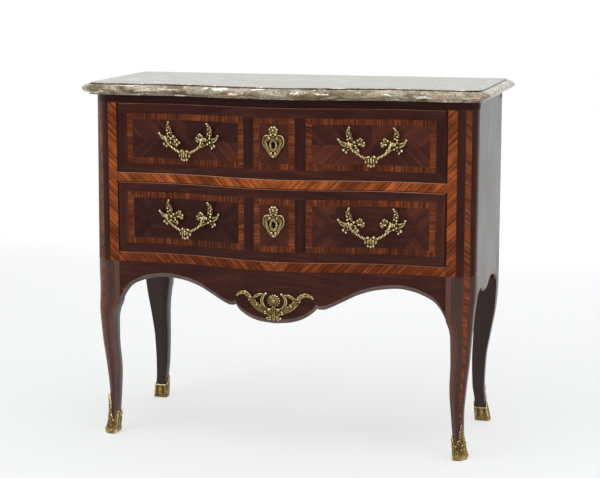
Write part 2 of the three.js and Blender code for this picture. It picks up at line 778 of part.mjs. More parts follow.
// Hole in a mount's head, along the line between the two heads
function pinHole(way, head, tilt) {
  const length = headRadius + overrun;
  const hole = new THREE.CylinderGeometry(pinHoleRadius, pinHoleRadius, length, 12);
  hole.rotateZ(Math.PI / 2).translate(-way * (length / 2 + headRadius - pinDepth - pinHoleRadius), 0, 0);
  return hole.rotateZ(tilt).translate(head.x, head.y, head.z);
}

// Nut on the end of a shank, against the back of the drawer front
function nut(x, pivot) {
  const from = frontThickness + seat;
  const ring = barY(nutRadius, x, pivot, from, from + nutThickness, 6);
  const hole = barY(shankRadius + nutHoleGap, x, pivot, from - overrun, from + nutThickness + overrun, 10);
  return drape(cut(ring, hole), 0);
}

// Bail between two heads: pins, two curved arms and a boss in the middle
function bail(half) {
  const pinEnd = half - headRadius + pinDepth;
  const shoulder = half - headRadius - shoulderGap;
  const rightArm = [
    ...bailShares.map(([across, out, down]) => [
      new THREE.Vector3(pivotHalf * across, -bailReach * out, -bailDrop * down), armRadius,
    ]).reverse(),
    [new THREE.Vector3(shoulder, 0, 0), armRadius],
  ];
  const leftArm = rightArm.slice(1).map(([p, r]) => [new THREE.Vector3(-p.x, p.y, p.z), r]).reverse();
  const arms = tube([...leftArm, ...rightArm], 7, 1);
  const pins = [-1, 1].map((way) => {
    const from = shoulder - armRadius;
    const pin = new THREE.CylinderGeometry(pinRadius, pinRadius, pinEnd - from, 8);
    return pin.rotateZ(Math.PI / 2).translate((way * (pinEnd + from)) / 2, 0, 0);
  });
  const boss = new THREE.SphereGeometry(bossHalfWidth, 10, 6);
  boss.scale(1, bossHalfDepth / bossHalfWidth, bossHalfHeight / bossHalfWidth);
  boss.translate(0, -bailReach, -bailDrop);
  return join(arms, ...pins, boss);
}

// A bar of changing radius along a path; flatness shares its thickness towards the viewer
function tube(path, sides, flatness) {
  const rings = path.map(([p, radius], i) => {
    const before = path[Math.max(i - 1, 0)][0];
    const after = path[Math.min(i + 1, path.length - 1)][0];
    const along = after.clone().sub(before).normalize();
    const side = along.clone().cross(new THREE.Vector3(0, 1, 0)).normalize();
    const out = side.clone().cross(along).normalize();
    return Array.from({ length: sides }, (_, k) => {
      const angle = (2 * Math.PI * k) / sides;
      return p.clone()
        .addScaledVector(side, radius * Math.cos(angle))
        .addScaledVector(out, radius * flatness * Math.sin(angle));
    });
  });
  return loft(rings);
}

// Apron mount: two leafy branches, two inner curls and a flower head on a stem
function apronMount(z) {
  const sweep = (shares, radius, way) => tube(
    shares.map(([across, up, swell]) => {
      const thick = radius * swell;
      const rise = up * (up > 0 ? mountRise : mountFall);
      return [new THREE.Vector3(way * mountHalfWidth * across, -thick * branchFlatShare, rise), thick];
    }),
    6, branchFlatShare,
  );
  const sweeps = [-1, 1].flatMap((way) => [
    sweep(branchShares, branchRadius, way), sweep(curlShares, curlRadius, way),
  ]);
  const flower = new THREE.SphereGeometry(rosetteRadius, 10, 5);
  flower.scale(1, rosetteHeight / rosetteRadius / 2, 1).translate(0, -rosetteHeight / 2, 0);
  const out = -branchRadius * branchFlatShare;
  const stem = tube([
    [new THREE.Vector3(0, out, -rosetteRadius / 2), branchRadius],
    [new THREE.Vector3(0, out, (-rosetteRadius - mountFall) / 2), branchRadius],
    [new THREE.Vector3(0, out, -mountFall), branchRadius / 2],
  ], 6, branchFlatShare);
  const whole = join(stem, flower, ...sweeps);
  return drape(whole.translate(0, 0, z));
}

// Carcass
place("marble_top", marbleTop(), marble);
placePair("front_post", post(frontSection), kingwood);
placePair("rear_post", post(rearSection), kingwood);
placePair("side_panel", sidePanel(), kingwood);
const backHalf = caseHalf - rearPostWidth - seat;
const backRear = rearPlane - backPanelInset;
const rearRailBottom = caseTop - rearRailHeight;
const panelLow = [-backHalf, backRear - backPanelThickness, apronTop + seat];
const rearRailLow = [-backHalf, backRear - rearRailDepth, rearRailBottom];
const topRail = rail(openingHalf - seat, topRailBottom, caseTop);
const dividerRail = rail(openingHalf - seat, dividerBottom, dividerTop);
place("back_panel", board(panelLow, [backHalf, backRear, rearRailBottom - seat]), oak);
place("top_front_rail", cut(topRail, mortise(topRailBottom)), kingwood);
place("top_rear_rail", board(rearRailLow, [backHalf, backRear, caseTop]), oak);
place("divider_rail", cut(dividerRail, mortise(dividerBottom)), tulipwood);
place("front_apron", frontApron(), kingwood);
place("rear_apron", rearApron(), oak);
place("dust_board", floorBoard(() => railBack, dividerBottom + dustBoardDrop, dustBoardThickness), oak);
const apronBack = (x) => frontY(x) + apronThickness;
const bottomBoardLevel = apronTop - bottomBoardDrop - bottomBoardThickness;
place("bottom_board", floorBoard(apronBack, bottomBoardLevel, bottomBoardThickness), oak);
placePair("upper_runner", runner(upperFrontBottom - drawerGap), oak);
placePair("lower_runner", runner(lowerFrontBottom - drawerGap), oak);
placePair("front_sabot", sabot(frontSection), gilt);
placePair("rear_sabot", sabot(rearSection), gilt);
place("apron_mount", apronMount(apronTop - mountPlaceDrop), gilt);

// Drawers with their locks and handles
drawer("upper_drawer", upperFrontBottom, upperFrontTop, upperPivotShare, upperKeyholeShare);
drawer("lower_drawer", lowerFrontBottom, lowerFrontTop, lowerPivotShare, lowerKeyholeShare);

export default chest;
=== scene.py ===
"""Looks of a serpentine-fronted chest of two drawers with a marble top and gilt bronze mounts.

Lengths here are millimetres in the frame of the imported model; MM turns them into metres.
+X is the viewer's right, the front faces -Y and +Z is up.
"""
import math

import bpy
import numpy as np
from mathutils import Euler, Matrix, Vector


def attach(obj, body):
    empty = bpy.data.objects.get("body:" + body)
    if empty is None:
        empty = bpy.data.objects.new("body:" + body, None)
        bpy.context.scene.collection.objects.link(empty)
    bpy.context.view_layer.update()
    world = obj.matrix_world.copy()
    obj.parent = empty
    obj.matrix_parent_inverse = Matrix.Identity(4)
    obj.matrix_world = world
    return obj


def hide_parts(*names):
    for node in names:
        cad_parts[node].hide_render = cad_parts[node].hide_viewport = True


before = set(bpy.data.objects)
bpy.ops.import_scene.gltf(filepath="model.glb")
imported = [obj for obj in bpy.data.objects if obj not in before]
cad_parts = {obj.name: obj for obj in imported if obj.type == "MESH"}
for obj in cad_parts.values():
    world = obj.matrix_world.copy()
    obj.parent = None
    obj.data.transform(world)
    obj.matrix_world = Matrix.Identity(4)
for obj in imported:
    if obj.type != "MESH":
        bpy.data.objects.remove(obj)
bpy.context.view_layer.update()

MM = 0.001

# Case
CASE_HALF = 462.5
OPENING_HALF = 398.0
STILE_PLANE = -163.5
STILE_BACK = -104.0
REAR_PLANE = 217.0
REAR_POST_FRONT = 172.0
BULGE = 34.0
HOLLOW = 6.0
HOLLOW_START = 285.0
SEAT = 0.3
CASE_TOP = 832.2
TOP_RAIL_BOTTOM = 814.5
DIVIDER_TOP = 648.0
DIVIDER_BOTTOM = 626.3
APRON_TOP = 455.7
BAND_BOTTOM = 433.7
LOBE_DROP = 147.0
SIDE_DROP = 81.7
FOOT_CANT = (0.42, 0.5)
KNEE_CANT = (39.0 / 64.5, 33.0 / 59.5)
CROWN_CANT = (39.0 / 64.5, 43.0 / 59.5)
REAR_POST_WIDTH = 62.0

# Front boards
FRONT_HALF = 397.0
FRONT_THICKNESS = 22.0
RAIL_BACK = -125.0
APRON_THICKNESS = 24.0
APRON_LEAST = 12.0
PANEL_THICKNESS = 18.0
CHAMFER = (4.2, 10.0)
BEAD_STEPS = (0, 0.8, 2.2, 4.2, 6.8, CHAMFER[1])
BEAD_CELLS = len(BEAD_STEPS) - 1
LINE_WIDTH = 1.2
DIAGONAL_SHARE = 0.7071
FRONTS = {"upper": (649.0, 813.5), "lower": (456.7, 625.3)}
KEYHOLES = {"upper": 731.25, "lower": 546.06}
PIVOTS = {"upper": 734.05, "lower": 549.09}
HANDLE_X = 223.52
PIVOT_HALF = 52.5
BAIL_OUT = 15.5
APRON_MOUNT_DROP = 91.0
LOCK_WIDTH = 64.0
LOCK_THICKNESS = 14.0
POCKET_HALF = (10.5, 4.0)
POCKET_DEPTH = 7.5
POCKET_OVERRUN = 5.0

# Veneer frames on the drawers
FRAME_OUTER = 372.0
FRAME_INNER = 74.6
FRAME_CENTRE = (FRAME_INNER + FRAME_OUTER) / 2
FRAME_MIDDLE = 49.0
FRAME_BAND = 14.0
LOZENGE_END = 30.0
LOZENGE_SLOPE = 0.6
# Height of the light strip along each drawer front's top edge: a painted highlight of the rounded edge
EDGE_HIGHLIGHT = 1.7
JOINT = 3.0
FRAME_LEVELS = {"upper": (670.8, 789.9), "lower": (478.8, 602.8)}

# Marble
MARBLE_BOTTOM = 832.5
MARBLE_TOP = 860.0
MARBLE_OVERHANG = (29.5, 22.5, 3.0)
MARBLE_CORNER = 48.0
BEAD_WIDTH = 18.0

# Leg sections: the levels, and the inset of each face with its share at each level
LEVELS = [0, 8, 25, 60, 95]
LEVELS += [95 + (BAND_BOTTOM - 95) * s for s in (0.21, 0.41, 0.575, 0.64, 0.7, 0.76, 0.84, 1)]
FRONT_LEG = {
    "outer": (24.0, [0.63, 0.67, 0.85, 0.98, 0.99, 0.775, 0.46, 0.285, 0.21, 0.18, 0.135, 0.04, 0]),
    "front": (13.0, [0.31, 0.38, 0.77, 1, 0.92, 0.54, 0, -0.31, -0.27, -0.12, -0.03, 0, 0]),
    "inner": (22.0, [0.98, 0.97, 0.92, 0.77, 0.64, 0.44, 0.56, 0.53, 0.36, 0.03, 0, 0, 0]),
    "back": (24.0, [0.85, 0.84, 0.81, 0.78, 0.81, 0.89, 0.96, 0.98, 0.9, 0.67, 0.375, 0, 0]),
    "cut": (14.0, [0.29, 0.29, 0.21, 0.14, 0.14, 0.29, 0.57, 0.6, 0.6, 0.71, 1, 1, 0.07]),
}
REAR_LEG = {
    "outer": (28.0, [0.5, 0.57, 0.7, 0.94, 0.99, 0.88, 0.51, 0.17, 0.09, 0.04, 0, 0, 0]),
    "back": (11.0, [0.14, 0.2, 0.37, 0.75, 1, 0.85, 0.25, 0.08, 0.02, 0, 0, 0, 0]),
    "inner": (13.0, [0.98, 0.97, 0.94, 0.79, 0.42, 0.25, 0.39, 0.04, -0.26, -0.32, -0.27, 0, 0]),
    "front": (20.0, [1, 0.95, 0.82, 0.58, 0.39, 0.4, 0.52, 0.47, 0.38, 0.26, 0.16, 0, 0]),
}
POST_FOOT = 4.5
KNEE = 330.0
SABOT_HEIGHT = 92.0
SHOE_TOPS = [0.62, 0.36, 0.5, 0.8, 1, 0.8, 0.6, 0.45, 0.4, 0.4, 0.58, 0.42]

# Half of the apron's lower edge, and the side's lower edge, as shares of their length and drop
LOBE_SHARES = [(0, 1), (0.085, 0.98), (0.156, 0.928), (0.201, 0.862), (0.231, 0.797), (0.246, 0.735)]
ARCH_SHARES = [
    (0.246, 0.735), (0.261, 0.755), (0.286, 0.757), (0.317, 0.731), (0.387, 0.641), (0.492, 0.504), (0.603, 0.423),
    (0.719, 0.392), (0.809, 0.425), (0.879, 0.489), (0.935, 0.572), (0.97, 0.682), (0.99, 0.775), (1, 0.835),
]
SIDE_SHARES = [
    (0, 1.02), (0.03, 0.95), (0.1, 0.85), (0.2, 0.816), (0.31, 0.963), (0.39, 1.006), (0.47, 1),
    (0.6, 0.865), (0.7, 0.767), (0.83, 0.804), (0.93, 0.878), (0.98, 0.98), (1, 1.08),
]


# Curves

def front_y(x):
    reach = abs(x)
    core = (1 + math.cos(math.pi * reach / HOLLOW_START)) / 2 if reach < HOLLOW_START else 0
    run = min(max((reach - HOLLOW_START) / (OPENING_HALF - HOLLOW_START), 0), 1)
    return STILE_PLANE - BULGE * core + HOLLOW * (1 + math.cos(math.pi * run)) / 2 * (1 - core)


def monotone(xs, ys):
    """A smooth curve through points that never overshoots them."""
    xs, ys = np.array(xs, float), np.array(ys, float)
    step, rise = np.diff(xs), np.diff(ys)
    slope = rise / step
    tangent = np.zeros(len(xs))
    tangent[0], tangent[-1] = slope[0], slope[-1]
    for i in range(1, len(xs) - 1):
        if slope[i - 1] * slope[i] > 0:
            a, b = 2 * step[i] + step[i - 1], step[i] + 2 * step[i - 1]
            tangent[i] = (a + b) / (a / slope[i - 1] + b / slope[i])

    def value(x):
        if x <= xs[0]:
            return float(ys[0])
        if x >= xs[-1]:
            return float(ys[-1])
        i = int(np.searchsorted(xs, x, side="right")) - 1
        t, h = (x - xs[i]) / step[i], step[i]
        return float(
            (2 * t**3 - 3 * t**2 + 1) * ys[i] + (t**3 - 2 * t**2 + t) * h * tangent[i]
            + (3 * t**2 - 2 * t**3) * ys[i + 1] + (t**3 - t**2) * h * tangent[i + 1]
        )
    return value


def leg_curves(leg):
    return {name: monotone(LEVELS, [inset * s for s in shares]) for name, (inset, shares) in leg.items()}


def edge_curve(start, run, drop, shares):
    return monotone(*zip(*[(start + run * a, APRON_TOP - drop * d) for a, d in shares]))


front_leg_at, rear_leg_at = leg_curves(FRONT_LEG), leg_curves(REAR_LEG)
lobe_at, arch_at = (edge_curve(0, OPENING_HALF, LOBE_DROP, shares) for shares in (LOBE_SHARES, ARCH_SHARES))
LOCK_MIDDLE = front_y(LOCK_WIDTH / 2) + FRONT_THICKNESS + SEAT + LOCK_THICKNESS / 2
side_at = edge_curve(STILE_BACK, REAR_POST_FRONT - STILE_BACK, SIDE_DROP, SIDE_SHARES)
CUSP = OPENING_HALF * LOBE_SHARES[-1][0]


def apron_edge(x):
    return lobe_at(abs(x)) if abs(x) <= CUSP else arch_at(abs(x))


def evenly(low, high, count):
    return [low + (high - low) * i / count for i in range(count + 1)]


def spaced(low, high, step):
    return evenly(low, high, max(1, math.ceil((high - low) / step - 1e-9)))


def stations(breaks, step):
    """The break points with even steps between them."""
    out = []
    for a, b in zip(breaks, breaks[1:]):
        out += spaced(a, b, step)[:-1]
    return out + [breaks[-1]]


# Meshes

class Shell:
    """Collects points and faces with a material, a grain direction and a tone for each face."""

    def __init__(self, points=(), faces=()):
        self.points, self.faces, self.mats, self.grain, self.tone = [], [], [], [], []
        self.add(points, faces)

    def point(self, p):
        self.points.append(tuple(p))
        return len(self.points) - 1

    def face(self, ids, mat=0, along=None, tone=(0.5, 0.5)):
        """Adds a face; along(point) gives a point's place on the grain."""
        self.faces.append(tuple(ids))
        self.mats.append(mat)
        self.grain.append([along(self.points[i]) for i in ids] if along else [(0.0, 0.0)] * len(ids))
        self.tone.append(tone)

    def add(self, points, faces):
        start = len(self.points)
        self.points += [tuple(p) for p in points]
        for f in faces:
            self.face([start + i for i in f])

    def turned(self):
        """Turns all faces over."""
        self.faces = [f[::-1] for f in self.faces]
        self.grain = [g[::-1] for g in self.grain]
        return self

    def flipped(self):
        """The mirror image on the other side of X = 0."""
        out = Shell()
        out.points = [(-x, y, z) for x, y, z in self.points]
        out.faces, out.mats, out.grain, out.tone = self.faces, list(self.mats), self.grain, list(self.tone)
        return out.turned()


def linked(name, data):
    """A new object in the scene."""
    item = bpy.data.objects.new(name, data)
    bpy.context.scene.collection.objects.link(item)
    return item


def pocketed(mesh, low, high):
    """The mesh with a square pocket cut out of it, the box from low to high."""
    x0, y0, z0, x1, y1, z1 = (c * MM for c in (*low, *high))
    box = bpy.data.meshes.new("pocket")
    box.from_pydata(
        [(x, y, z) for z in (z0, z1) for y in (y0, y1) for x in (x0, x1)], [],
        [(0, 2, 3, 1), (4, 5, 7, 6), (0, 1, 5, 4), (2, 6, 7, 3), (0, 4, 6, 2), (1, 3, 7, 5)],
    )
    tool, work = (linked("pocket", m) for m in (box, mesh))
    mod = work.modifiers.new("pocket", "BOOLEAN")
    mod.operation, mod.solver, mod.object = "DIFFERENCE", "EXACT", tool
    graph = bpy.context.evaluated_depsgraph_get()
    done = bpy.data.meshes.new_from_object(work.evaluated_get(graph))
    for item in (tool, work):
        bpy.data.objects.remove(item)
    return done


def make(name, shell, body, mats, replaces=(), smooth=32, bevel=0.0, pocket=None):
    mesh = bpy.data.meshes.new(name)
    mesh.from_pydata([(x * MM, y * MM, z * MM) for x, y, z in shell.points], [], shell.faces)
    for m in mats:
        mesh.materials.append(m)
    mesh.polygons.foreach_set("material_index", shell.mats)
    grain = mesh.uv_layers.new(name="grain")
    flat = [c * MM for g in shell.grain for uv in g for c in uv]
    grain.data.foreach_set("uv", flat)
    tone = mesh.uv_layers.new(name="tone")
    flat = [c for g, t in zip(shell.grain, shell.tone) for _ in g for c in t]
    tone.data.foreach_set("uv", flat)
    mesh.validate()
    if pocket:
        mesh = pocketed(mesh, *pocket)
    mesh.shade_smooth()
    mesh.set_sharp_from_angle(angle=math.radians(smooth))
    piece = linked(name, mesh)
    if bevel:
        mod = piece.modifiers.new("edge", "BEVEL")
        mod.width, mod.segments, mod.limit_method, mod.angle_limit = bevel * MM, 2, "ANGLE", math.radians(40)
        mod.harden_normals = True
    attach(piece, body)
    if replaces:
        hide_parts(*replaces)
    return piece


def make_pair(name, shell, node):
    """A veneered right-hand piece of the carcass and its mirror image, each standing for its own node."""
    for side, half in (("right", shell), ("left", shell.flipped())):
        make(f"{name}_{side}", half, "carcass", VENEERS, [f"{node}_{side}"])


def lattice(shell, rows, cell):
    """Faces between closed rows of points; cell(r, c) gives their material, grain function and tone."""
    ids = [[shell.point(p) for p in row] for row in rows]
    width = len(rows[0])
    for r in range(len(rows) - 1):
        for c in range(width):
            d = (c + 1) % width
            shell.face([ids[r][c], ids[r][d], ids[r + 1][d], ids[r + 1][c]], *cell(r, c))
    return ids


def along_x(p):
    return (p[0], p[2] + p[1])


def along_z(p):
    return (p[2], p[0] + p[1])


def along_y(p):
    return (p[1], p[0] + p[2])


def rising(p):
    """Diagonal grain, rising away from the middle on both halves."""
    return ((abs(p[0]) + p[2]) * DIAGONAL_SHARE, (p[2] - abs(p[0])) * DIAGONAL_SHARE)


# Materials

class Tree:
    """The nodes of a material or a world, with short names for those that the scene uses."""

    def __init__(self, owner, output="ShaderNodeOutputMaterial"):
        owner.use_nodes = True
        self.tree = owner.node_tree
        self.tree.nodes.clear()
        self.out = self.tree.nodes.new(output)

    def put(self, socket, value):
        """Links a socket, or sets it to a number, a vector or a colour."""
        if isinstance(value, bpy.types.NodeSocket):
            self.tree.links.new(value, socket)
        else:
            socket.default_value = (*value, 1) if socket.type == "RGBA" else value

    def node(self, kind, inputs={}, **settings):
        """A new node with its inputs linked or set; returns its outputs."""
        n = self.tree.nodes.new(kind)
        for key, value in settings.items():
            setattr(n, key, value)
        for key, value in inputs.items():
            self.put(n.inputs[key], value)
        return n.outputs

    def uv(self, name):
        return self.node("ShaderNodeUVMap", uv_map=name)[0]

    def place(self):
        return self.node("ShaderNodeTexCoord")["Object"]

    def scaled(self, vector, scale, offset=(0, 0, 0)):
        return self.node("ShaderNodeMapping", {0: vector, "Scale": scale, "Location": offset})[0]

    def noise(self, vector, scale, detail=4.0, rough=0.55, distort=0.0):
        values = {"Vector": vector, "Scale": scale, "Detail": detail, "Roughness": rough, "Distortion": distort}
        return self.node("ShaderNodeTexNoise", values)["Fac"]

    def ramp(self, value, stops):
        n = self.tree.nodes.new("ShaderNodeValToRGB")
        elements = n.color_ramp.elements
        while len(elements) < len(stops):
            elements.new(0.5)
        for element, (at, colour) in zip(elements, stops):
            element.position = at
            element.color = (*colour, 1) if isinstance(colour, tuple) else (colour, colour, colour, 1)
        self.put(n.inputs[0], value)
        return n.outputs[0]

    def maths(self, operation, *values, clamp=False):
        return self.node("ShaderNodeMath", dict(enumerate(values)), operation=operation, use_clamp=clamp)[0]

    def mix(self, kind, factor, a, b):
        return self.node("ShaderNodeMix", {0: factor, 6: a, 7: b}, data_type="RGBA", blend_type=kind)[2]

    def split(self, vector):
        return self.node("ShaderNodeSeparateXYZ", {0: vector})

    def bump(self, height, strength, distance):
        return self.node("ShaderNodeBump", {"Strength": strength, "Distance": distance, "Height": height})[0]

    def seen(self):
        """1 for the rays that show the bright backdrop: the camera's own, mirrored and passed on by glass."""
        path = self.node("ShaderNodeLightPath")
        seen = self.maths("ADD", path["Is Camera Ray"], path["Is Glossy Ray"], clamp=True)
        return self.maths("ADD", seen, path["Is Transmission Ray"], clamp=True)

    def blend(self, factor, a, b):
        """Ends the tree with a mix of two shaders."""
        self.put(self.out.inputs[0], self.node("ShaderNodeMixShader", {0: factor, 1: a, 2: b})[0])


def surface(name):
    """A new empty material and its tree."""
    mat = bpy.data.materials.new(name)
    return mat, Tree(mat)


def shaded(t, inputs):
    """Ends a material's tree with its shader; returns the shader."""
    shader = t.node("ShaderNodeBsdfPrincipled", inputs)[0]
    t.put(t.out.inputs[0], shader)
    return shader


def veneer(name, dark, mid, light, streak, blotch, coat=0.03, rough=0.36, contrast=1.0, gloss=0.06, lines=0.42):
    """French polished wood whose grain follows the first axis of the UV map named grain."""
    mat, t = surface(name)
    tone = t.split(t.uv("tone"))
    seed = t.node("ShaderNodeCombineXYZ", {2: t.maths("MULTIPLY", tone[1], 7.3)})[0]
    base = t.node("ShaderNodeVectorMath", {0: t.uv("grain"), 1: seed}, operation="ADD")[0]
    fine = t.noise(t.scaled(base, (6.0, 520.0, 1.0)), streak, 3.0, 0.6, 0.15)
    broad = t.noise(t.scaled(base, (2.2, 85.0, 1.0)), 1.0, 3.0, 0.6, 0.3)
    cloud = t.noise(t.scaled(base, (1.0, 1.0, 1.0)), blotch, 3.0, 0.6, 0.4)
    pores = t.noise(t.scaled(base, (60.0, 2400.0, 1.0)), 1.0, 1.0, 0.5)
    figure = t.maths("MULTIPLY_ADD", fine, lines, t.maths("MULTIPLY", broad, 0.84 - lines))
    figure = t.maths("MULTIPLY_ADD", cloud, 0.26, figure)
    level = t.maths("MULTIPLY_ADD", t.maths("SUBTRACT", figure, 0.55), 1.7 * contrast, 0.5)
    level = t.maths("ADD", level, t.maths("SUBTRACT", tone[0], 0.5), clamp=True)
    colour = t.ramp(level, [(0.08, dark), (0.5, mid), (0.92, light)])
    worn, waves = t.noise(t.place(), 9.0, 3.0, 0.6), t.noise(t.place(), 22.0, 2.0, 0.5)
    shaded(t, {
        "Base Color": t.mix("MULTIPLY", 0.75, colour, t.ramp(pores, [(0.34, 0.72), (0.46, 1.0)])),
        "Roughness": t.maths("MULTIPLY_ADD", worn, 0.16, rough - 0.08),
        "Coat Weight": coat, "Coat Roughness": 0.09, "Specular IOR Level": gloss,
        "Normal": t.bump(t.maths("MULTIPLY_ADD", fine, 0.25, waves), 0.16, 0.0006),
    })
    return mat


def bronze(name, depth, lift, fine=0.4):
    """Worn gilding over chased bronze, dark in the hollows and light on the raised parts: partly dirt in the recesses,
    partly painted shade and painted highlight.
    """
    mat, t = surface(name)
    hollow = t.node("ShaderNodeAttribute", attribute_name="hollow")["Fac"]
    patch, speck = t.noise(t.place(), 150.0, 4.0, 0.6), t.noise(t.place(), 800.0, 3.0, 0.6)
    wear = t.maths("MULTIPLY_ADD", patch, 0.55, t.maths("MULTIPLY", speck, fine))
    level = t.maths("ADD", t.maths("MULTIPLY_ADD", hollow, depth, lift), wear, clamp=True)
    shaded(t, {
        "Base Color": t.ramp(level, [
            (0.12, (0.012, 0.008, 0.003)), (0.36, (0.08, 0.052, 0.017)), (0.60, (0.225, 0.15, 0.052)),
            (0.82, (0.40, 0.295, 0.12)), (1.0, (0.80, 0.66, 0.38)),
        ]),
        "Roughness": t.ramp(level, [(0.1, 0.62), (0.6, 0.36), (1.0, 0.22)]), "Metallic": 1.0,
        "Normal": t.bump(t.maths("MULTIPLY_ADD", speck, 0.4, patch), 0.5, 0.0012),
    })
    return mat


def stone():
    """Polished breccia: brown, olive and grey-green clouds, pinkish patches and pale streaks."""
    mat, t = surface("marble")
    place, tone = t.place(), t.split(t.uv("tone"))

    def clouds(scale, offset, detail, rough, distort):
        return t.noise(t.scaled(place, scale, offset), 1.0, detail, rough, distort)

    cloud = clouds((15.0, 20.0, 34.0), (0, 0, 0), 6.0, 0.62, 1.1)
    patch = clouds((11.0, 15.0, 26.0), (3.1, 1.7, 0.4), 5.0, 0.6, 1.4)
    drift = clouds((13.0, 24.0, 60.0), (0.7, 4.1, 2.2), 5.0, 0.66, 1.8)
    murk = clouds((20.0, 30.0, 70.0), (5.2, 0.3, 1.6), 4.0, 0.6, 1.0)
    grit = t.noise(place, 260.0, 4.0, 0.7)
    colour = t.ramp(cloud, [
        (0.32, (0.07, 0.048, 0.024)), (0.42, (0.17, 0.122, 0.064)), (0.50, (0.25, 0.20, 0.125)),
        (0.57, (0.36, 0.345, 0.27)), (0.63, (0.20, 0.148, 0.085)), (0.74, (0.60, 0.56, 0.47)),
    ])
    for layer, start, end, weight, tint in (
        (patch, 0.53, 0.60, 0.65, (0.47, 0.33, 0.25)), (drift, 0.57, 0.61, 0.9, (0.86, 0.82, 0.74)),
        (murk, 0.55, 0.66, 0.7, (0.085, 0.062, 0.034)),
    ):
        share = t.maths("MULTIPLY", t.ramp(layer, [(start, 0.0), (end, 1.0)]), weight)
        colour = t.mix("MIX", share, colour, tint)
    colour = t.mix("MULTIPLY", 0.8, colour, t.ramp(grit, [(0.36, 0.45), (0.62, 1.35)]))
    # A high second tone value, given only to the top face, mixes it towards dark grey-green: painted shade on the top
    colour = t.mix("MIX", t.ramp(tone[1], [(0.6, 0.0), (0.8, 0.62)]), colour, (0.098, 0.112, 0.08))
    shaded(t, {
        # A low first tone value turns the colour nearly black: the groove under the top edge, with dirt and painted
        # shade in it
        "Base Color": t.mix("MULTIPLY", 1.0, colour, t.ramp(tone[0], [(0.1, 0.05), (0.4, 1.0)])),
        "Roughness": t.maths("MULTIPLY_ADD", cloud, 0.14, 0.1), "Specular IOR Level": 0.2,
        "Coat Weight": 0.03, "Coat Roughness": 0.06, "Normal": t.bump(grit, 0.08, 0.0004),
    })
    return mat


def iron():
    mat, t = surface("lock_iron")
    rust = t.noise(t.place(), 85.0, 6.0, 0.65)
    stops = [(0.3, (0.03, 0.028, 0.026)), (0.55, (0.09, 0.08, 0.07)), (0.75, (0.14, 0.075, 0.04))]
    shaded(t, {
        "Base Color": t.ramp(rust, stops), "Roughness": t.ramp(rust, [(0.3, 0.4), (0.8, 0.75)]),
        "Metallic": 0.85, "Normal": t.bump(rust, 0.3, 0.0008),
    })
    return mat


def plain_wood(name, dark, light, axis, rough=0.62, gloss=0.5):
    """Solid carcass wood with its grain along one axis of the frame."""
    mat, t = surface(name)

    def stretched(across, along):
        return t.scaled(t.place(), tuple(along if i == axis else across for i in range(3)))

    rings = t.noise(stretched(26.0, 1.3), 1.0, 4.0, 0.55, 0.6)
    fibre = t.noise(stretched(330.0, 7.0), 1.0, 3.0, 0.6)
    level = t.maths("MULTIPLY_ADD", rings, 0.9, t.maths("MULTIPLY", fibre, 0.45))
    colour = t.ramp(level, [(0.42, dark), (0.68, light), (0.86, tuple(c * 1.18 for c in light))])
    stain = t.ramp(t.noise(t.place(), 5.0, 5.0, 0.6), [(0.35, 0.6), (0.6, 1.0)])
    shaded(t, {
        "Base Color": t.mix("MULTIPLY", 0.7, colour, stain), "Specular IOR Level": gloss,
        "Roughness": t.maths("MULTIPLY_ADD", fibre, 0.2, rough - 0.1), "Normal": t.bump(fibre, 0.35, 0.0005),
    })
    return mat


OAK = ((0.15, 0.085, 0.04), (0.34, 0.205, 0.105))
KINGWOOD = veneer(
    "kingwood", (0.017, 0.0055, 0.0045), (0.040, 0.0115, 0.0085), (0.105, 0.027, 0.014), 1.0, 14.0,
)
KINGWOOD_LEG = veneer(
    "kingwood_leg", (0.015, 0.0065, 0.0055), (0.036, 0.014, 0.010), (0.095, 0.032, 0.019), 1.0, 14.0,
    coat=0.12, gloss=0.26,
)
# A greyer copy of kingwood for the sides: part of its grey is painted reflection of the pale room
KINGWOOD_SIDE = veneer(
    "kingwood_side", (0.012, 0.009, 0.006), (0.034, 0.024, 0.016), (0.09, 0.055, 0.034), 0.8, 6.0,
    contrast=1.6, coat=0.1, rough=0.26, gloss=0.15,
)
TULIPWOOD = veneer(
    "tulipwood", (0.07, 0.013, 0.0035), (0.165, 0.036, 0.0085), (0.40, 0.10, 0.022), 0.7, 22.0,
    contrast=2.4, lines=0.5,
)
CROSSBAND = veneer(
    "crossband", (0.036, 0.0085, 0.004), (0.085, 0.0205, 0.0075), (0.24, 0.058, 0.017), 0.9, 30.0,
    contrast=2.1, lines=0.62,
)
# Pale lines: an inlaid line at the top of the apron, and painted highlight along the rounded top edges of the drawer
# fronts and the divider
STRINGING_AND_HIGHLIGHT = veneer("stringing", (0.13, 0.046, 0.028), (0.33, 0.135, 0.08), (0.55, 0.28, 0.18), 1.0, 12.0)
OAK_X, OAK_Y, OAK_Z = (plain_wood("oak_along_" + "xyz"[axis], *OAK, axis) for axis in range(3))
DARK_OAK = plain_wood("stained_oak", (0.035, 0.018, 0.01), (0.11, 0.06, 0.032), 0, 0.55)
GILT = bronze("gilt_bronze", 1.7, -0.88)
SHOE_GILT = bronze("worn_gilt_bronze", 1.1, -0.58, 0.62)
MARBLE = stone()
IRON = iron()
# Near-black for the inside of the keyholes: painted shade
KEYHOLE_SHADE = plain_wood("keyhole_dark", (0.002, 0.0015, 0.0012), (0.006, 0.0045, 0.0035), 2, 0.8, 0.04)
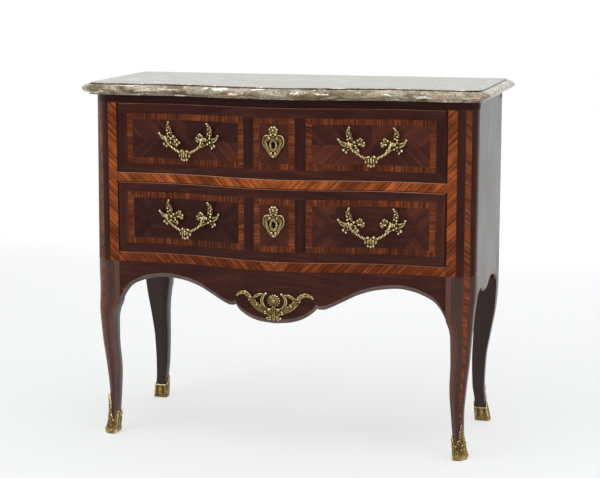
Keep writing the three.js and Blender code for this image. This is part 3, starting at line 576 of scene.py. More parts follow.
# Lighter grey-brown for the beads on the lower edges of apron, sides and legs: wear on the rounded edge and painted
# highlight
BEAD_WEAR_AND_HIGHLIGHT = veneer(
    "worn_bead", (0.035, 0.018, 0.014), (0.085, 0.047, 0.038), (0.17, 0.11, 0.09), 1.0, 12.0, coat=0.1, gloss=0.3,
)
VENEERS = [KINGWOOD, TULIPWOOD, CROSSBAND, STRINGING_AND_HIGHLIGHT, OAK_X, KINGWOOD_SIDE, KINGWOOD_LEG, BEAD_WEAR_AND_HIGHLIGHT]
DARK, DIAGONAL, CROSS, LINE, CORE, SIDE, LEG, WEAR_AND_HIGHLIGHT = range(8)

# Material and tone of a board's lower edge, upper edge and ends
BOARD_RIMS = ((DARK, (0.55, 0.3)), (CORE, (0.55, 0.3)), (CORE, (0.5, 0.5)))
DRAWER_RIMS = ((DARK, (0.5, 0.3)),) * 3


# Marble slab

def edge_normal(a, b):
    run = math.hypot(b[0] - a[0], b[1] - a[1])
    return ((b[1] - a[1]) / run, (a[0] - b[0]) / run)


def offset_ring(points, spread):
    """Moves the points of a counter-clockwise ring outwards."""
    out = []
    for i, p in enumerate(points):
        before = edge_normal(points[i - 1], p)
        after = edge_normal(p, points[(i + 1) % len(points)])
        scale = spread / (1 + before[0] * after[0] + before[1] * after[1])
        out.append((p[0] + (before[0] + after[0]) * scale, p[1] + (before[1] + after[1]) * scale))
    return out


def marble_ring(inset):
    side, front, rear = MARBLE_OVERHANG
    half = CASE_HALF + side
    right = [(x, front_y(x) - front) for x in spaced(0, OPENING_HALF, 7)]
    for i in range(15):
        turn = math.pi / 28 * i
        across, along = (MARBLE_CORNER * (1 - share) for share in (math.sin(turn), math.cos(turn)))
        right.append((half - across, STILE_PLANE - front + along))
    right += [(half, y) for y in spaced(STILE_PLANE - front + MARBLE_CORNER, REAR_PLANE + rear, 60)[1:]]
    left = [(-x, y) for x, y in reversed(right[1:])]
    ring = offset_ring(left + right, -inset)
    ring[0] = (-half + inset, REAR_PLANE + rear)
    ring[-1] = (half - inset, REAR_PLANE + rear)
    return ring


def marble_slab():
    foot, crown = MARBLE_BOTTOM + 2.6, MARBLE_TOP - 3.4
    profile = [(MARBLE_BOTTOM, BEAD_WIDTH), (foot - 0.4, BEAD_WIDTH)]
    for i in range(13):
        angle = math.pi * (0.04 + 0.92 * i / 12)
        profile.append((foot + (crown - foot) * (1 - math.cos(angle)) / 2, BEAD_WIDTH * (1 - math.sin(angle) ** 1.4)))
    profile += [
        (crown, BEAD_WIDTH), (MARBLE_TOP - 5.4, BEAD_WIDTH + 0.6), (MARBLE_TOP - 5.4, BEAD_WIDTH + 1.8),
        (MARBLE_TOP - 1.4, BEAD_WIDTH + 2.6), (MARBLE_TOP, BEAD_WIDTH + 3.8),
    ]
    groove = range(len(profile) - 5, len(profile) - 2)
    shell = Shell()
    rows = [[(x, y, z) for x, y in marble_ring(inset)] for z, inset in profile]
    # The groove rows get tone 0, painted nearly black for dirt and painted shade in the groove
    ids = lattice(shell, rows, lambda r, c: (0, along_x, (0.0 if r in groove else 0.5, 0.5)))
    shell.face(ids[0][::-1])
    # The top face's tone has the marble painted darker grey-green there: painted shade
    shell.face(ids[-1], tone=(0.5, 0.9))
    make("marble_slab", shell, "carcass", [MARBLE], ["marble_top"], smooth=38)


# Posts and legs

def canted(low, high, cant, steps):
    """Points of the curved cant at the near outer corner of a section."""
    start, end = (high[0] - cant[0], low[1]), (high[0], low[1] + cant[1])
    middle = ((start[0] + end[0]) / 2, (start[1] + end[1]) / 2)
    pull = (middle[0] + (high[0] - middle[0]) * 0.34, middle[1] + (low[1] - middle[1]) * 0.34)
    return [
        tuple(start[i] * (1 - t) ** 2 + pull[i] * 2 * t * (1 - t) + end[i] * t * t for i in (0, 1)) for t in steps
    ]


def section_ring(low, high, cant, cut, chamfer):
    """Plan of a post; each point has the name of the strip after it."""
    inner, front = low
    outer, back = high
    flat = high[0] - cant[0] - inner - chamfer
    ring = [((inner, front + chamfer * 0.8), "bead"), ((inner + chamfer * 0.25, front + chamfer * 0.25), "bead")]
    ring += [((inner + chamfer + flat * t, front), "front") for t in (0, 0.22)]
    ring += [((inner + chamfer + flat * t, front), "middle") for t in (0.45, 0.65)]
    ring += [((inner + chamfer + flat * 0.86, front), "edge")]
    steps = (0, 0.1, 0.2, 0.3, 0.4, 0.5, 0.59, 0.7, 0.8, 0.9)
    names = ["dark"] * 3 + ["cross"] * 3 + ["dark"] * 3 + ["rim"]
    ring += list(zip(canted(low, high, cant, steps), names))
    ring += [((outer, front + cant[1]), "side"), ((outer, (front + cant[1] + back) / 2), "side")]
    ring += [((outer, back), "back"), (((outer + inner + cut) / 2, back), "back"), ((inner + cut, back), "back")]
    ring += [((inner + 0.3 * cut, back - 0.3 * cut), "inner"), ((inner, back - cut), "inner")]
    ring += [((inner, (front + back - cut) / 2), "inner")]
    return [p for p, _ in ring], [name for _, name in ring]


def front_core(z):
    """Corners, cant and far inner cut of the right front post at a height."""
    at = {name: curve(z) for name, curve in front_leg_at.items()}
    low = (OPENING_HALF + at["inner"], STILE_PLANE + at["front"])
    high = (CASE_HALF - at["outer"], STILE_BACK - at["back"])
    below, above = min(z / BAND_BOTTOM, 1), max((z - BAND_BOTTOM) / (CASE_TOP - BAND_BOTTOM), 0)
    shares = [f + (k - f) * below + (c - k) * above for f, k, c in zip(FOOT_CANT, KNEE_CANT, CROWN_CANT)]
    return low, high, tuple((b - a) * s for a, b, s in zip(low, high, shares)), at["cut"]


def rear_core(z):
    """The same for the right rear post, turned so that its free corner is the near one."""
    at = {name: curve(z) for name, curve in rear_leg_at.items()}
    low = (CASE_HALF - REAR_POST_WIDTH + at["inner"], at["back"] - REAR_PLANE)
    return low, (CASE_HALF - at["outer"], -REAR_POST_FRONT - at["front"]), (7.0, 7.0), 1.0


def front_section(z):
    """Below the knee the inner corner widens into the apron's bead."""
    widening = min(max((KNEE + 5 - z) / 14, 0), 1)
    return section_ring(*front_core(z), 0.4 + 4.6 * widening)


def rear_section(z):
    points, strips = section_ring(*rear_core(z), 0.4)
    return [(x, -y) for x, y in points], strips


def post_shell(section_at, is_front):
    levels = stations([POST_FOOT, SABOT_HEIGHT, KNEE, BAND_BOTTOM, APRON_TOP, TOP_RAIL_BOTTOM, CASE_TOP], 9.0)
    rows, strips = [], None
    for z in levels:
        points, strips = section_at(z)
        rows.append([(x, y, z) for x, y in points])
    shell = Shell()

    def cell(r, c):
        z = (levels[r] + levels[r + 1]) / 2
        strip = strips[c]
        if z > TOP_RAIL_BOTTOM:
            # Under the marble the post is darker: the frieze's own dark veneer and painted shadow of the slab's
            # overhang
            return DARK, along_x, (0.2, 0.3)
        if not is_front:
            is_side = strip == "side" and z > BAND_BOTTOM
            return (SIDE, along_z, (0.46, 0.7)) if is_side else (LEG, along_z, (0.36, 0.8))
        if strip in ("front", "middle") and z > BAND_BOTTOM:
            return DIAGONAL, rising, (0.44, 0.2)
        if strip == "cross":
            return CROSS, along_x, (0.68, 0.4)
        if strip == "bead":
            return (WEAR_AND_HIGHLIGHT if z < BAND_BOTTOM else DARK), along_z, (0.5, 0.1)
        if strip == "rim":
            return LEG, along_z, (0.86, 0.4)
        if strip == "side" and z > BAND_BOTTOM:
            return SIDE, along_z, (0.46, 0.7)
        if z < BAND_BOTTOM:
            tones = {"front": 0.98, "middle": 0.6, "edge": 0.4, "side": 0.8, "dark": 0.5, "inner": 0.3}
            return LEG, along_z, (tones.get(strip, 0.42), 0.6)
        return DARK, along_z, (0.7 if strip == "side" else 0.42, 0.6)
    ids = lattice(shell, rows, cell)
    shell.face(ids[0][::-1], CORE)
    shell.face(ids[-1], CORE)
    return shell if is_front else shell.turned()


# Panels, rails and apron

def board_shell(columns, levels, front, back, cell, rims=BOARD_RIMS, cuts=None):
    """A board standing on its lower edge: columns along it, levels up it, with a front and a back face.

    front(c, z) and back(c, z) give points, levels(c) the heights of a column, cell(c, z, r) the veneer and
    cuts(i, r, ids) the parts of a front cell."""
    shell = Shell()
    rows = [levels(c) for c in columns]
    spots = [(c, z) for c, zs in zip(columns, rows) for z in zs]
    near, far = ([[shell.point(face(c, z)) for z in zs] for c, zs in zip(columns, rows)] for face in (front, back))
    last, top = len(columns) - 1, len(rows[0]) - 1
    for i in range(last):
        for r in range(top):
            quad = [near[i][r], near[i + 1][r], near[i + 1][r + 1], near[i][r + 1]]
            for ids in cuts(i, r, quad) if cuts else [quad]:
                c, z = (sum(spots[k][axis] for k in ids) / len(ids) for axis in (0, 1))
                shell.face(ids, *cell(c, z, r))
            shell.face([far[i + 1][r], far[i][r], far[i][r + 1], far[i + 1][r + 1]], CORE, along_x)
        for r, turn, (mat, tone) in ((0, 1, rims[0]), (top, -1, rims[1])):
            shell.face([far[i][r], far[i + 1][r], near[i + 1][r], near[i][r]][::turn], mat, along_x, tone)
    mat, tone = rims[2]
    for i, turn in ((0, 1), (last, -1)):
        for r in range(top):
            shell.face([far[i][r], near[i][r], near[i][r + 1], far[i][r + 1]][::turn], mat, along_y, tone)
    return shell


def bead_offset(height_above):
    """How far the lower edge's bead falls back from the face at a height above the edge."""
    share = min(max(1 - height_above / CHAMFER[1], 0), 1)
    return CHAMFER[0] * (1 - math.sqrt(max(1 - share**2, 0))) if share > 0 else 0.0


def edge_levels(edge, top, count):
    """Heights of a column: the bead on its lower edge, then even steps up to the top."""
    return [edge + h for h in BEAD_STEPS] + evenly(edge + CHAMFER[1], top, count)[1:]


def rails():
    for name, low, high in (
        ("top_front_rail", TOP_RAIL_BOTTOM, CASE_TOP), ("divider_rail", DIVIDER_BOTTOM, DIVIDER_TOP),
    ):
        lines = name == "divider_rail"
        levels = [low, low + LINE_WIDTH, high - LINE_WIDTH, high]

        def cell(x, z, r, lines=lines):
            if not lines:
                # The frieze under the marble is darker: its own dark veneer and painted shadow of the slab's overhang
                return DARK, along_x, (0.15, 0.3)
            # The divider's light top row is a painted highlight of its rounded edge
            return (LINE, along_x, (0.5, 0.5)) if r == 2 else (DIAGONAL, rising, (0.5 if r else 0.2, 0.35))
        shell = board_shell(
            stations([-OPENING_HALF + SEAT, 0, OPENING_HALF - SEAT], 8), lambda x, levels=levels: levels,
            lambda x, z: (x, front_y(x), z), lambda x, z: (x, RAIL_BACK, z), cell,
        )
        across, along = POCKET_HALF
        pocket = (
            (-across, LOCK_MIDDLE - along, low - POCKET_OVERRUN), (across, LOCK_MIDDLE + along, low + POCKET_DEPTH),
        )
        make(name + "_face", shell, "carcass", VENEERS, [name], bevel=0.7, pocket=pocket)


def apron():
    half = OPENING_HALF - SEAT

    def edge_at(x):
        return min(apron_edge(x), BAND_BOTTOM - APRON_LEAST)

    def levels(x):
        return edge_levels(edge_at(x), BAND_BOTTOM, 4) + [APRON_TOP - LINE_WIDTH, APRON_TOP]

    def cell(x, z, r):
        if r < BEAD_CELLS:
            return WEAR_AND_HIGHLIGHT, along_x, (0.55, 0.2)
        if z > APRON_TOP - LINE_WIDTH:
            return LINE, along_x, (0.3, 0.5)
        if z > BAND_BOTTOM:
            return DIAGONAL, rising, (0.26, 0.9)
        return DARK, along_x, (0.44 if x < 0 else 0.5, 0.15 if x < 0 else 0.45)
    shell = board_shell(
        stations([-half, -CUSP, 0, CUSP, half], 5), levels,
        lambda x, z: (x, front_y(x) + bead_offset(z - edge_at(x)), z),
        lambda x, z: (x, front_y(x) + APRON_THICKNESS, z), cell,
    )
    make("front_apron_face", shell, "carcass", VENEERS, ["front_apron"])


def side_panels():
    def cell(y, z, r):
        if r < BEAD_CELLS:
            return WEAR_AND_HIGHLIGHT, along_y, (0.62, 0.2)
        above = z > TOP_RAIL_BOTTOM
        # The strip under the marble is darker: a frieze band and painted shadow of the slab's overhang
        return SIDE, (along_y if above else along_z), (0.3 if above else 0.46, 0.7)
    shell = board_shell(
        stations([STILE_BACK + SEAT, REAR_POST_FRONT - SEAT], 6),
        lambda y: edge_levels(side_at(y), TOP_RAIL_BOTTOM, 6) + [CASE_TOP],
        lambda y, z: (CASE_HALF - bead_offset(z - side_at(y)), y, z),
        lambda y, z: (CASE_HALF - PANEL_THICKNESS, y, z), cell,
    )
    make_pair("side_board", shell, "side_panel")


# Drawer fronts

def veneer_cell(which, x, z):
    """Which veneer lies at a place on a drawer front, with its grain and tone."""
    low, high = FRONTS[which]
    frame_low, frame_high = FRAME_LEVELS[which]
    reach = abs(x)
    to_side, to_level = FRONT_HALF - reach, min(z - low, high - z)
    inside_z = frame_low < z < frame_high
    if to_side < JOINT:
        return DARK, along_z, (0.0, 0.4)
    # The light strip along the top edge is a painted highlight of the rounded edge
    if z > high - EDGE_HIGHLIGHT:
        return LINE, along_x, (0.16 if which == "upper" else 0.3, 0.5)
    middle = reach < FRAME_MIDDLE
    outer = FRAME_INNER < reach < FRAME_OUTER
    if not inside_z or not (middle or outer):
        if FRAME_MIDDLE < reach < FRAME_INNER and inside_z:
            return DARK, along_z, (0.32, 0.5)
        if to_side < to_level or (inside_z and reach > FRAME_OUTER):
            return DARK, along_z, (0.36 if which == "upper" else 0.58, 0.25)
        return DARK, along_x, (0.46, 0.75 if z > frame_high else 0.05)
    left, right = (-FRAME_MIDDLE, FRAME_MIDDLE) if middle else (FRAME_INNER, FRAME_OUTER)
    at = x if middle else reach
    sides, rises = min(at - left, right - at), min(z - frame_low, frame_high - z)
    if min(sides, rises) < FRAME_BAND:
        if sides < rises:
            return CROSS, along_x, (0.52, 0.3 if x < 0 else 0.6)
        return CROSS, along_z, (0.40 if z < (low + high) / 2 else 0.46, 0.9 if x < 0 else 0.1)
    centre = 0 if middle else math.copysign((left + right) / 2, x)
    level = (frame_low + frame_high) / 2
    above = z > level

    def matched(p):
        a, b = abs(p[0] - centre), abs(p[2] - level)
        return ((a + b) * DIAGONAL_SHARE, (a - b) * DIAGONAL_SHARE)
    if which == "upper" or middle:
        dark = (above != (x > centre)) if x > 0 else (above == (x > centre))
        if x > FRAME_INNER:
            return DARK, matched, (0.52 if dark else 0.70, 0.3 + 0.2 * above)
        return DARK, matched, ((0.38 if dark else 0.58) if not middle else 0.62, 0.3 + 0.2 * above)
    lozenge = (right - left) / 2 - FRAME_BAND - LOZENGE_END - LOZENGE_SLOPE * abs(z - level)
    if abs(x - centre) > lozenge:
        return DARK, matched, ((0.72 if above else 0.62) if x > 0 else (0.44 if above else 0.36), 0.8)
    return DARK, along_x, (0.52 if x > 0 else 0.34, 0.55 if above else 0.6)


def front_columns():
    """Places across a drawer front: the frames' edges with even steps between them."""
    breaks = [0, FRAME_MIDDLE - FRAME_BAND, FRAME_MIDDLE, FRAME_INNER, FRAME_INNER + FRAME_BAND, FRAME_CENTRE]
    breaks += [FRAME_OUTER - FRAME_BAND, FRAME_OUTER, FRONT_HALF - JOINT, FRONT_HALF]
    half = stations(breaks, 14.5)
    return [-x for x in reversed(half[1:])] + half


def front_levels(which):
    low, high = FRONTS[which]
    a, b = FRAME_LEVELS[which]
    breaks = [low, a, a + FRAME_BAND, (a + b) / 2, b - FRAME_BAND, b, high - EDGE_HIGHLIGHT, high]
    return stations(breaks, 6 if which == "lower" else 27)


def drawer_face(which):
    columns, levels = front_columns(), front_levels(which)

    def cuts(i, r, ids):
        """The two halves of a cell that a mitre cuts, or the whole cell."""
        x, z = (columns[i] + columns[i + 1]) / 2, (levels[r] + levels[r + 1]) / 2
        w, h = columns[i + 1] - columns[i], levels[r + 1] - levels[r]
        reach = abs(x)
        for sides, (bottom, top), start in (
            ((FRONT_HALF - JOINT,), (levels[0], levels[-2]), FRAME_OUTER),
            ((FRAME_INNER, FRAME_OUTER, FRAME_MIDDLE), FRAME_LEVELS[which], 0),
        ):
            by_side = min(abs(abs(reach - s) - w / 2) for s in sides) < 0.1
            by_level = min(abs(z - h / 2 - bottom), abs(z + h / 2 - top)) < 0.1
            if by_side and by_level and reach > start:
                break
        else:
            return [ids]
        a, b, c, d = ids
        outside = (x > 0) == (reach > (FRAME_CENTRE if reach > FRAME_INNER else 0))
        return ((a, b, c), (a, c, d)) if outside == (z > (levels[0] + levels[-1]) / 2) else ((a, b, d), (b, c, d))
    shell = board_shell(
        columns, lambda x: levels, lambda x, z: (x, front_y(x), z), lambda x, z: (x, front_y(x) + FRONT_THICKNESS, z),
        lambda x, z, r: veneer_cell(which, x, z), DRAWER_RIMS, cuts,
    )
    name = which + "_drawer_front"
    make(name + "_face", shell, which + "_drawer", VENEERS, [name], bevel=0.9)


marble_slab()
make_pair("front_leg", post_shell(front_section, True), "front_post")
make_pair("rear_leg", post_shell(rear_section, False), "rear_post")
rails()
apron()
side_panels()
for which in ("upper", "lower"):
    drawer_face(which)

# Bronze shapes, in millimetres: (x, out, z) with out towards the viewer

def volume(shell):
    total = 0.0
    for f in shell.faces:
        a = Vector(shell.points[f[0]])
        for i, j in zip(f[1:], f[2:]):
            total += a.dot(Vector(shell.points[i]).cross(Vector(shell.points[j])))
    return total


def outward(shell):
    """Turns the faces of a closed shape outwards."""
    if volume(shell) < 0:
        shell.faces = [f[::-1] for f in shell.faces]
    return shell


def plain_cell(r, c):
    return 0, along_x, (0.5, 0.5)


def tube(rings, ends=True):
    """A closed shape through rings of points."""
    shell = Shell()
    ids = lattice(shell, rings, plain_cell)
    if ends:
        shell.face(ids[0][::-1])
        shell.face(ids[-1])
    return outward(shell)


THINNEST = 0.3
HOLLOW_PASSES = 10


def smooth_path(rows, per=7):
    """Points along a curve through the given ones."""
    pts = [np.array(r, float) for r in rows]
    pts = [2 * pts[0] - pts[1]] + pts + [2 * pts[-1] - pts[-2]]
    out = []
    for a, b, c, d in zip(pts, pts[1:], pts[2:], pts[3:]):
        for i in range(per):
            t = i / per
            square, cube = (2 * a - 5 * b + 4 * c - d) * t**2, (3 * b - a - 3 * c + d) * t**3
            out.append(0.5 * (2 * b + (c - a) * t + square + cube))
    return out + [pts[-2]]


def blade(rows, ribs=2, groove=0.3, sides=24, notch=0.0, per=7):
    """A chased leaf or bar along a curve; each row is x, out, z, half width and half thickness."""
    path = smooth_path(rows, per)
    rings = []
    for i, p in enumerate(path):
        a, b = path[max(i - 1, 0)], path[min(i + 1, len(path) - 1)]
        along = Vector((b[0] - a[0], a[1] - b[1], b[2] - a[2])).normalized()
        side = along.cross(Vector((0, 1, 0)))
        side = side.normalized() if side.length > 0.05 else along.cross(Vector((1, 0, 0))).normalized()
        out = side.cross(along).normalized()
        if out.y > 0:
            out = -out
        centre = Vector((p[0], -p[1], p[2]))
        wide, thick = (max(size, THINNEST) for size in p[3:])
        wide *= 1 + notch * math.sin(2.6 * i / per * math.pi)
        ring = []
        for k in range(sides):
            turn = 2 * math.pi * k / sides
            lift = math.sin(turn)
            full = thick
            if lift > 0:
                full *= 1 - groove * (0.5 + 0.5 * math.cos(2 * ribs * turn + math.pi * (ribs % 2)))
            ring.append(tuple(centre + side * wide * math.cos(turn) + out * full * lift))
        rings.append(ring)
    return tube(rings)


def ball(centre, radii, sides=16, rings=9, lobes=0, depth=0.0):
    """A closed rounded knob, fluted when lobes are given; the flutes run out from its front."""
    x, out, z = centre
    a, b, c = (radii,) * 3 if isinstance(radii, (int, float)) else radii
    shell = Shell()
    rows = []
    for r in range(1, rings):
        fall = math.pi * r / rings
        row = []
        for k in range(sides):
            turn = 2 * math.pi * k / sides
            wave = 1 - depth * (0.5 + 0.5 * math.cos(lobes * turn)) * math.sin(fall) if lobes else 1
            row.append((
                x + a * math.sin(fall) * math.cos(turn) * wave, -out - b * math.cos(fall) * wave,
                z + c * math.sin(fall) * math.sin(turn) * wave,
            ))
        rows.append(row)
    ids = lattice(shell, rows, plain_cell)
    front, rear = shell.point((x, -out - b, z)), shell.point((x, -out + b, z))
    for k in range(sides):
        n = (k + 1) % sides
        shell.face([front, ids[0][n], ids[0][k]])
        shell.face([rear, ids[-1][k], ids[-1][n]])
    return outward(shell)


def knobs(*rows):
    """Plain round knobs; each row is x, out, z and radius."""
    return [ball(row[:3], row[3]) for row in rows]


def hoop(centre, radius, thick, axis="x", stretch=1.0, sides=28, around=10, lobes=0, swell=0.0):
    """A closed ring around an axis through its centre."""
    rows = []
    for k in range(sides):
        turn = 2 * math.pi * k / sides
        fat = thick * (1 + swell * math.cos(lobes * turn))
        row = []
        for j in range(around):
            spin = 2 * math.pi * j / around
            r = radius + fat * math.cos(spin)
            p, q, w = r * math.cos(turn), r * math.sin(turn) * stretch, fat * math.sin(spin)
            offset = (w, p, q) if axis == "x" else (p, w, q)
            row.append((centre[0] + offset[0], -centre[1] + offset[1], centre[2] + offset[2]))
        rows.append(row)
    return tube(rows + [rows[0]], ends=False)


def fused(shells, voxel=0.8, passes=2):
    """One closed casting made of the given closed shapes."""
    whole = Shell()
    for s in shells:
        whole.add(s.points, s.faces)
    mesh = bpy.data.meshes.new("casting")
    mesh.from_pydata(whole.points, [], whole.faces)
    work = linked("casting", mesh)
    mod = work.modifiers.new("join", "REMESH")
    mod.mode, mod.voxel_size = "VOXEL", voxel
    soft = work.modifiers.new("soft", "SMOOTH")
    soft.factor, soft.iterations = 0.5, passes
    result = work.evaluated_get(bpy.context.evaluated_depsgraph_get())
    done = result.to_mesh()
    out = Shell([v.co for v in done.vertices], [f.vertices for f in done.polygons])
    result.to_mesh_clear()
    bpy.data.objects.remove(work)
    bpy.data.meshes.remove(mesh)
    return out


def moved(shell, place):
    return Shell([place(*p) for p in shell.points], shell.faces)


def on_front(x, z, lift=0.5):
    """Lays a shape made for a flat front onto the curved one."""
    def place(a, b, c):
        return (x + a, b + front_y(x + a) - lift, z + c)
    return place


def hollow_dirt_and_shade(mesh, weight):
    """Stores how hollow the surface is at each point, for the dark in the recesses and the light on raised parts:
    partly dirt, partly painted shade and painted highlight.
    """
    def read(items, name, width, kind=float):
        values = np.empty(len(items) * width, kind)
        items.foreach_get(name, values)
        return values.reshape(-1, width)

    co, normal = read(mesh.vertices, "co", 3), read(mesh.vertices, "normal", 3)
    a, b = read(mesh.edges, "vertices", 2, int).T
    degree = np.bincount(a, minlength=len(co)) + np.bincount(b, minlength=len(co))
    soft = co.copy()
    for _ in range(HOLLOW_PASSES):
        total = np.zeros_like(soft)
        np.add.at(total, a, soft[b])
        np.add.at(total, b, soft[a])
        soft = total / np.maximum(degree, 1)[:, None]
    depth = np.einsum("ij,ij->i", soft - co, normal) / MM
    layer = mesh.attributes.new("hollow", "FLOAT", "POINT")
    layer.data.foreach_set("value", np.clip(0.5 - depth * weight, 0, 1))


def cast(name, shell, body, node, smooth=60, weight=0.6, mat=GILT):
    piece = make(name, shell, body, [mat], [node], smooth=smooth)
    hollow_dirt_and_shade(piece.data, weight)


# How far the photograph shows leaves and bosses beside their pivots, and the leaves below them
LEAF_SHIFTS = {("right", "outer"): -1.5, ("right", "inner"): -8.0, ("left", "outer"): -14.0, ("left", "inner"): 4.0}
SPARE_SHIFT = -15.5
BAIL_SHIFTS = {"right": 2.5, "left": -5.5}
LEAF_DROP = 2.4


def leaf_cluster(shift, full=True):
    """The leaf mount of a handle, for the end away from the middle; its bail hangs on the -X side."""
    parts = [
        blade([
            (2, 3, 0, 8.4, 5), (4, 5, 8, 8.6, 4.8), (5.4, 6.4, 16, 7, 4.4), (6.4, 8.4, 23, 6.8, 4),
            (6.2, 11.5, 30, 5.4, 3.4), (4.6, 16, 36.5, 3.6, 2.8), (2.2, 20.5, 42, 1.7, 2),
        ], 3, 0.26, notch=0.12),
        *knobs((8, 9, 12, 3.2), (3, 9.4, 15, 2.8), (8.6, 10.8, 20, 2.7), (5, 13, 27.4, 2.5), (5.6, 17.6, 35, 2.2)),
        blade([
            (3, 4, -1, 7.4, 4.6), (12, 5, -0.4, 6.8, 4.2), (20, 5.6, 2.4, 5, 3.6), (25, 7, 6.6, 3, 2.7),
            (28, 8.6, 11, 1.8, 2),
        ], 2, 0.42),
        ball((29, 9, 12.6), 2.9),
        blade([
            (2, 3, -4, 7, 4.4), (9, 4, -8, 6, 4), (14.6, 4.4, -11.6, 5.2, 3.6), (16.5, 5, -16, 3.4, 2.8),
        ], 2, 0.42),
        *knobs((18, 5.4, -12.4, 3.8), (12, 5.6, -17.4, 3.2)),
        ball((-1, 4.6, -1), (14.4, 6.4, 10.6), lobes=9, depth=0.26, sides=54),
        ball((0, 9, 1), (5.2, 4, 4.6), lobes=5, depth=0.2, sides=30),
        *knobs((7, 9, 5.4, 3.4), (-6, 8.6, 6, 3.4), (7.4, 8.6, -4.4, 3.2), (-9, 8.4, -3, 3.2), (1, 8.8, -8.4, 3.2)),
        blade([
            (0, 5, -5, 6.4, 4.6), (-7, 6.4, -8, 6.2, 4.6), (-13, 7, -12, 5.2, 4), (-17, 7.4, -16.6, 3.6, 3),
        ], 2, 0.42),
        *knobs((-10.4, 9, -7, 3.2), (-15, 9, -12.4, 3.0)),
    ]
    if full:
        parts += [
            blade([
                (-3, 4, 1, 7.4, 4.6), (-11, 5, 1.4, 7.6, 4.6), (-18, 5.6, 3, 7.6, 4.4), (-24, 5.8, 5, 5.6, 4),
            ], 3, 0.42, notch=0.08),
            ball((-24.8, 6, -1), (6.4, 5, 5.4)),
            blade([(-15, 6, 5, 4.6, 4), (-19.6, 6.6, 10, 5.2, 4.2), (-22.4, 6.6, 14.2, 3.6, 3.2)], 1, 0.4, notch=0.1),
            *knobs((-28, 6.4, 4, 3.2), (-13.6, 7, 9.4, 3), (-17.4, 9, 1, 3.0), (-22, 9.6, 1.8, 2.2)),
        ]
    else:
        parts += [
            blade([(-3, 4, -2, 7, 4.6), (-11, 5, -5, 6.6, 4.4), (-17, 5.6, -8.4, 5.4, 4)], 2, 0.42, notch=0.08),
            ball((-20, 6, -9), (5, 4.4, 4.8), lobes=5, depth=0.24, sides=30), ball((-14, 7.4, -2.4), 3.6),
        ]
    parts = [moved(p, lambda x, y, z: (x + shift, y, z - LEAF_DROP)) for p in parts]
    parts += [
        blade([(0, 2, 0, 4.6, 4.6), (0, 9, 0, 4, 4), (0, 15, 0, 3.6, 3.6)], 1, 0.0),
        ball((1.9, 15, 0), (4.2, 4.6, 4.6)), hoop((-4.5, 15, 0), 4.7, 1.75), hoop((-1.2, 15, 0), 4.0, 1.9),
        blade([(0, 1, 0, 3, 3), (0, -29.5, 0, 3, 3)], 1, 0.0, per=3),
    ]
    return fused(parts, 0.85)


def twisted_bail(shift):
    """The bail in its own frame, hanging from the line between the two heads, its boss set off by the shift."""
    inner_y, outer_y = front_y(HANDLE_X - PIVOT_HALF), front_y(HANDLE_X + PIVOT_HALF)
    half = math.hypot(PIVOT_HALF, (outer_y - inner_y) / 2)
    shoulder, pin_end = half - 6.8, half - 3.2
    curve = [
        (shoulder, 0, 0), (44.6, 1.2, -5), (42.6, 2.8, -11.5), (36.6, 4.4, -18), (29, 5.2, -23.4), (21, 6, -28),
        (14, 6.6, -31.5), (6, 7, -34.5),
    ]
    path = smooth_path(curve, 10)
    parts = []
    for phase in (0.0, math.pi):
        rows = []
        for i, p in enumerate(path[::2]):
            spin = phase + i * 0.62
            spread = 2.0 * min(1, i / 3)
            fat = 2.1 if i > 2 else 2.4
            across, up = spread * math.cos(spin), spread * math.sin(spin)
            rows.append((p[0] + spread * 0.35 * math.cos(spin), p[1] + up, p[2] + across, fat, fat))
        parts.append(blade(rows, 1, 0.0, sides=10, per=2))
    parts.append(ball((40.5, 4.6, -15), 3.4))
    parts.append(blade([(shoulder - 2, 0, 0, 2.9, 2.9), (shoulder + 1, 0, 0, 2.6, 2.6)], 1, 0.0, sides=14, per=2))
    parts.append(blade([(shoulder - 1, 0, 0, 2, 2), (pin_end, 0, 0, 2, 2)], 1, 0.0, sides=14, per=3))
    parts += [p.flipped() for p in parts]
    parts.append(ball((0, 6.6, -37.2), (14.6, 6.2, 11.6), lobes=7, depth=0.34, sides=56, rings=12))
    parts += [ball(p, r) for p, r in (
        ((14.6, 7, -31), (3.6, 3.4, 3.2)), ((-14.8, 7, -30.6), (4.2, 3.6, 3.4)), ((7.2, 9.4, -28.2), (3.4, 3, 4.2)),
        ((-6.2, 9.2, -28.6), (4.4, 3.2, 3.2)), ((12, 8, -38), (3.2, 3.4, 4.6)), ((-11.6, 8, -38.6), (3.2, 3.2, 4.4)),
        ((6.2, 9.6, -46.2), (3.2, 3, 4.6)), ((-5.6, 9.4, -46.6), (3.4, 3, 4.2)), ((0.6, 12, -36), (3, 2.8, 6.2)),
        ((-5.4, 11.4, -36.6), (2.2, 2.4, 5)), ((5.8, 11.2, -37.2), (2.2, 2.4, 5.2)), ((0.4, 10.6, -49), (2.4, 2.4, 3)),
    )]
    shell = fused(parts, 0.75)
    tilt = math.atan2(outer_y - inner_y, 2 * PIVOT_HALF)
    x0, y0 = HANDLE_X, (inner_y + outer_y) / 2 - BAIL_OUT

    def place(a, b, c):
        a += shift * max(0, min(1, (-c - 6) / 16))
        return (x0 + a * math.cos(tilt) - b * math.sin(tilt), y0 + a * math.sin(tilt) + b * math.cos(tilt), c)
    return moved(shell, place)


HEART = [
    (0, 0.38), (0.24, 0.44), (0.52, 0.48), (0.82, 0.41), (0.98, 0.2), (0.9, -0.06), (0.64, -0.4), (0.37, -0.7),
    (0.15, -0.9), (0, -1),
]


def heart_row(scale, out, wide, thick):
    return [(25 * scale * x, out, (39 if z > 0 else 32) * scale * z, wide, thick) for x, z in HEART]


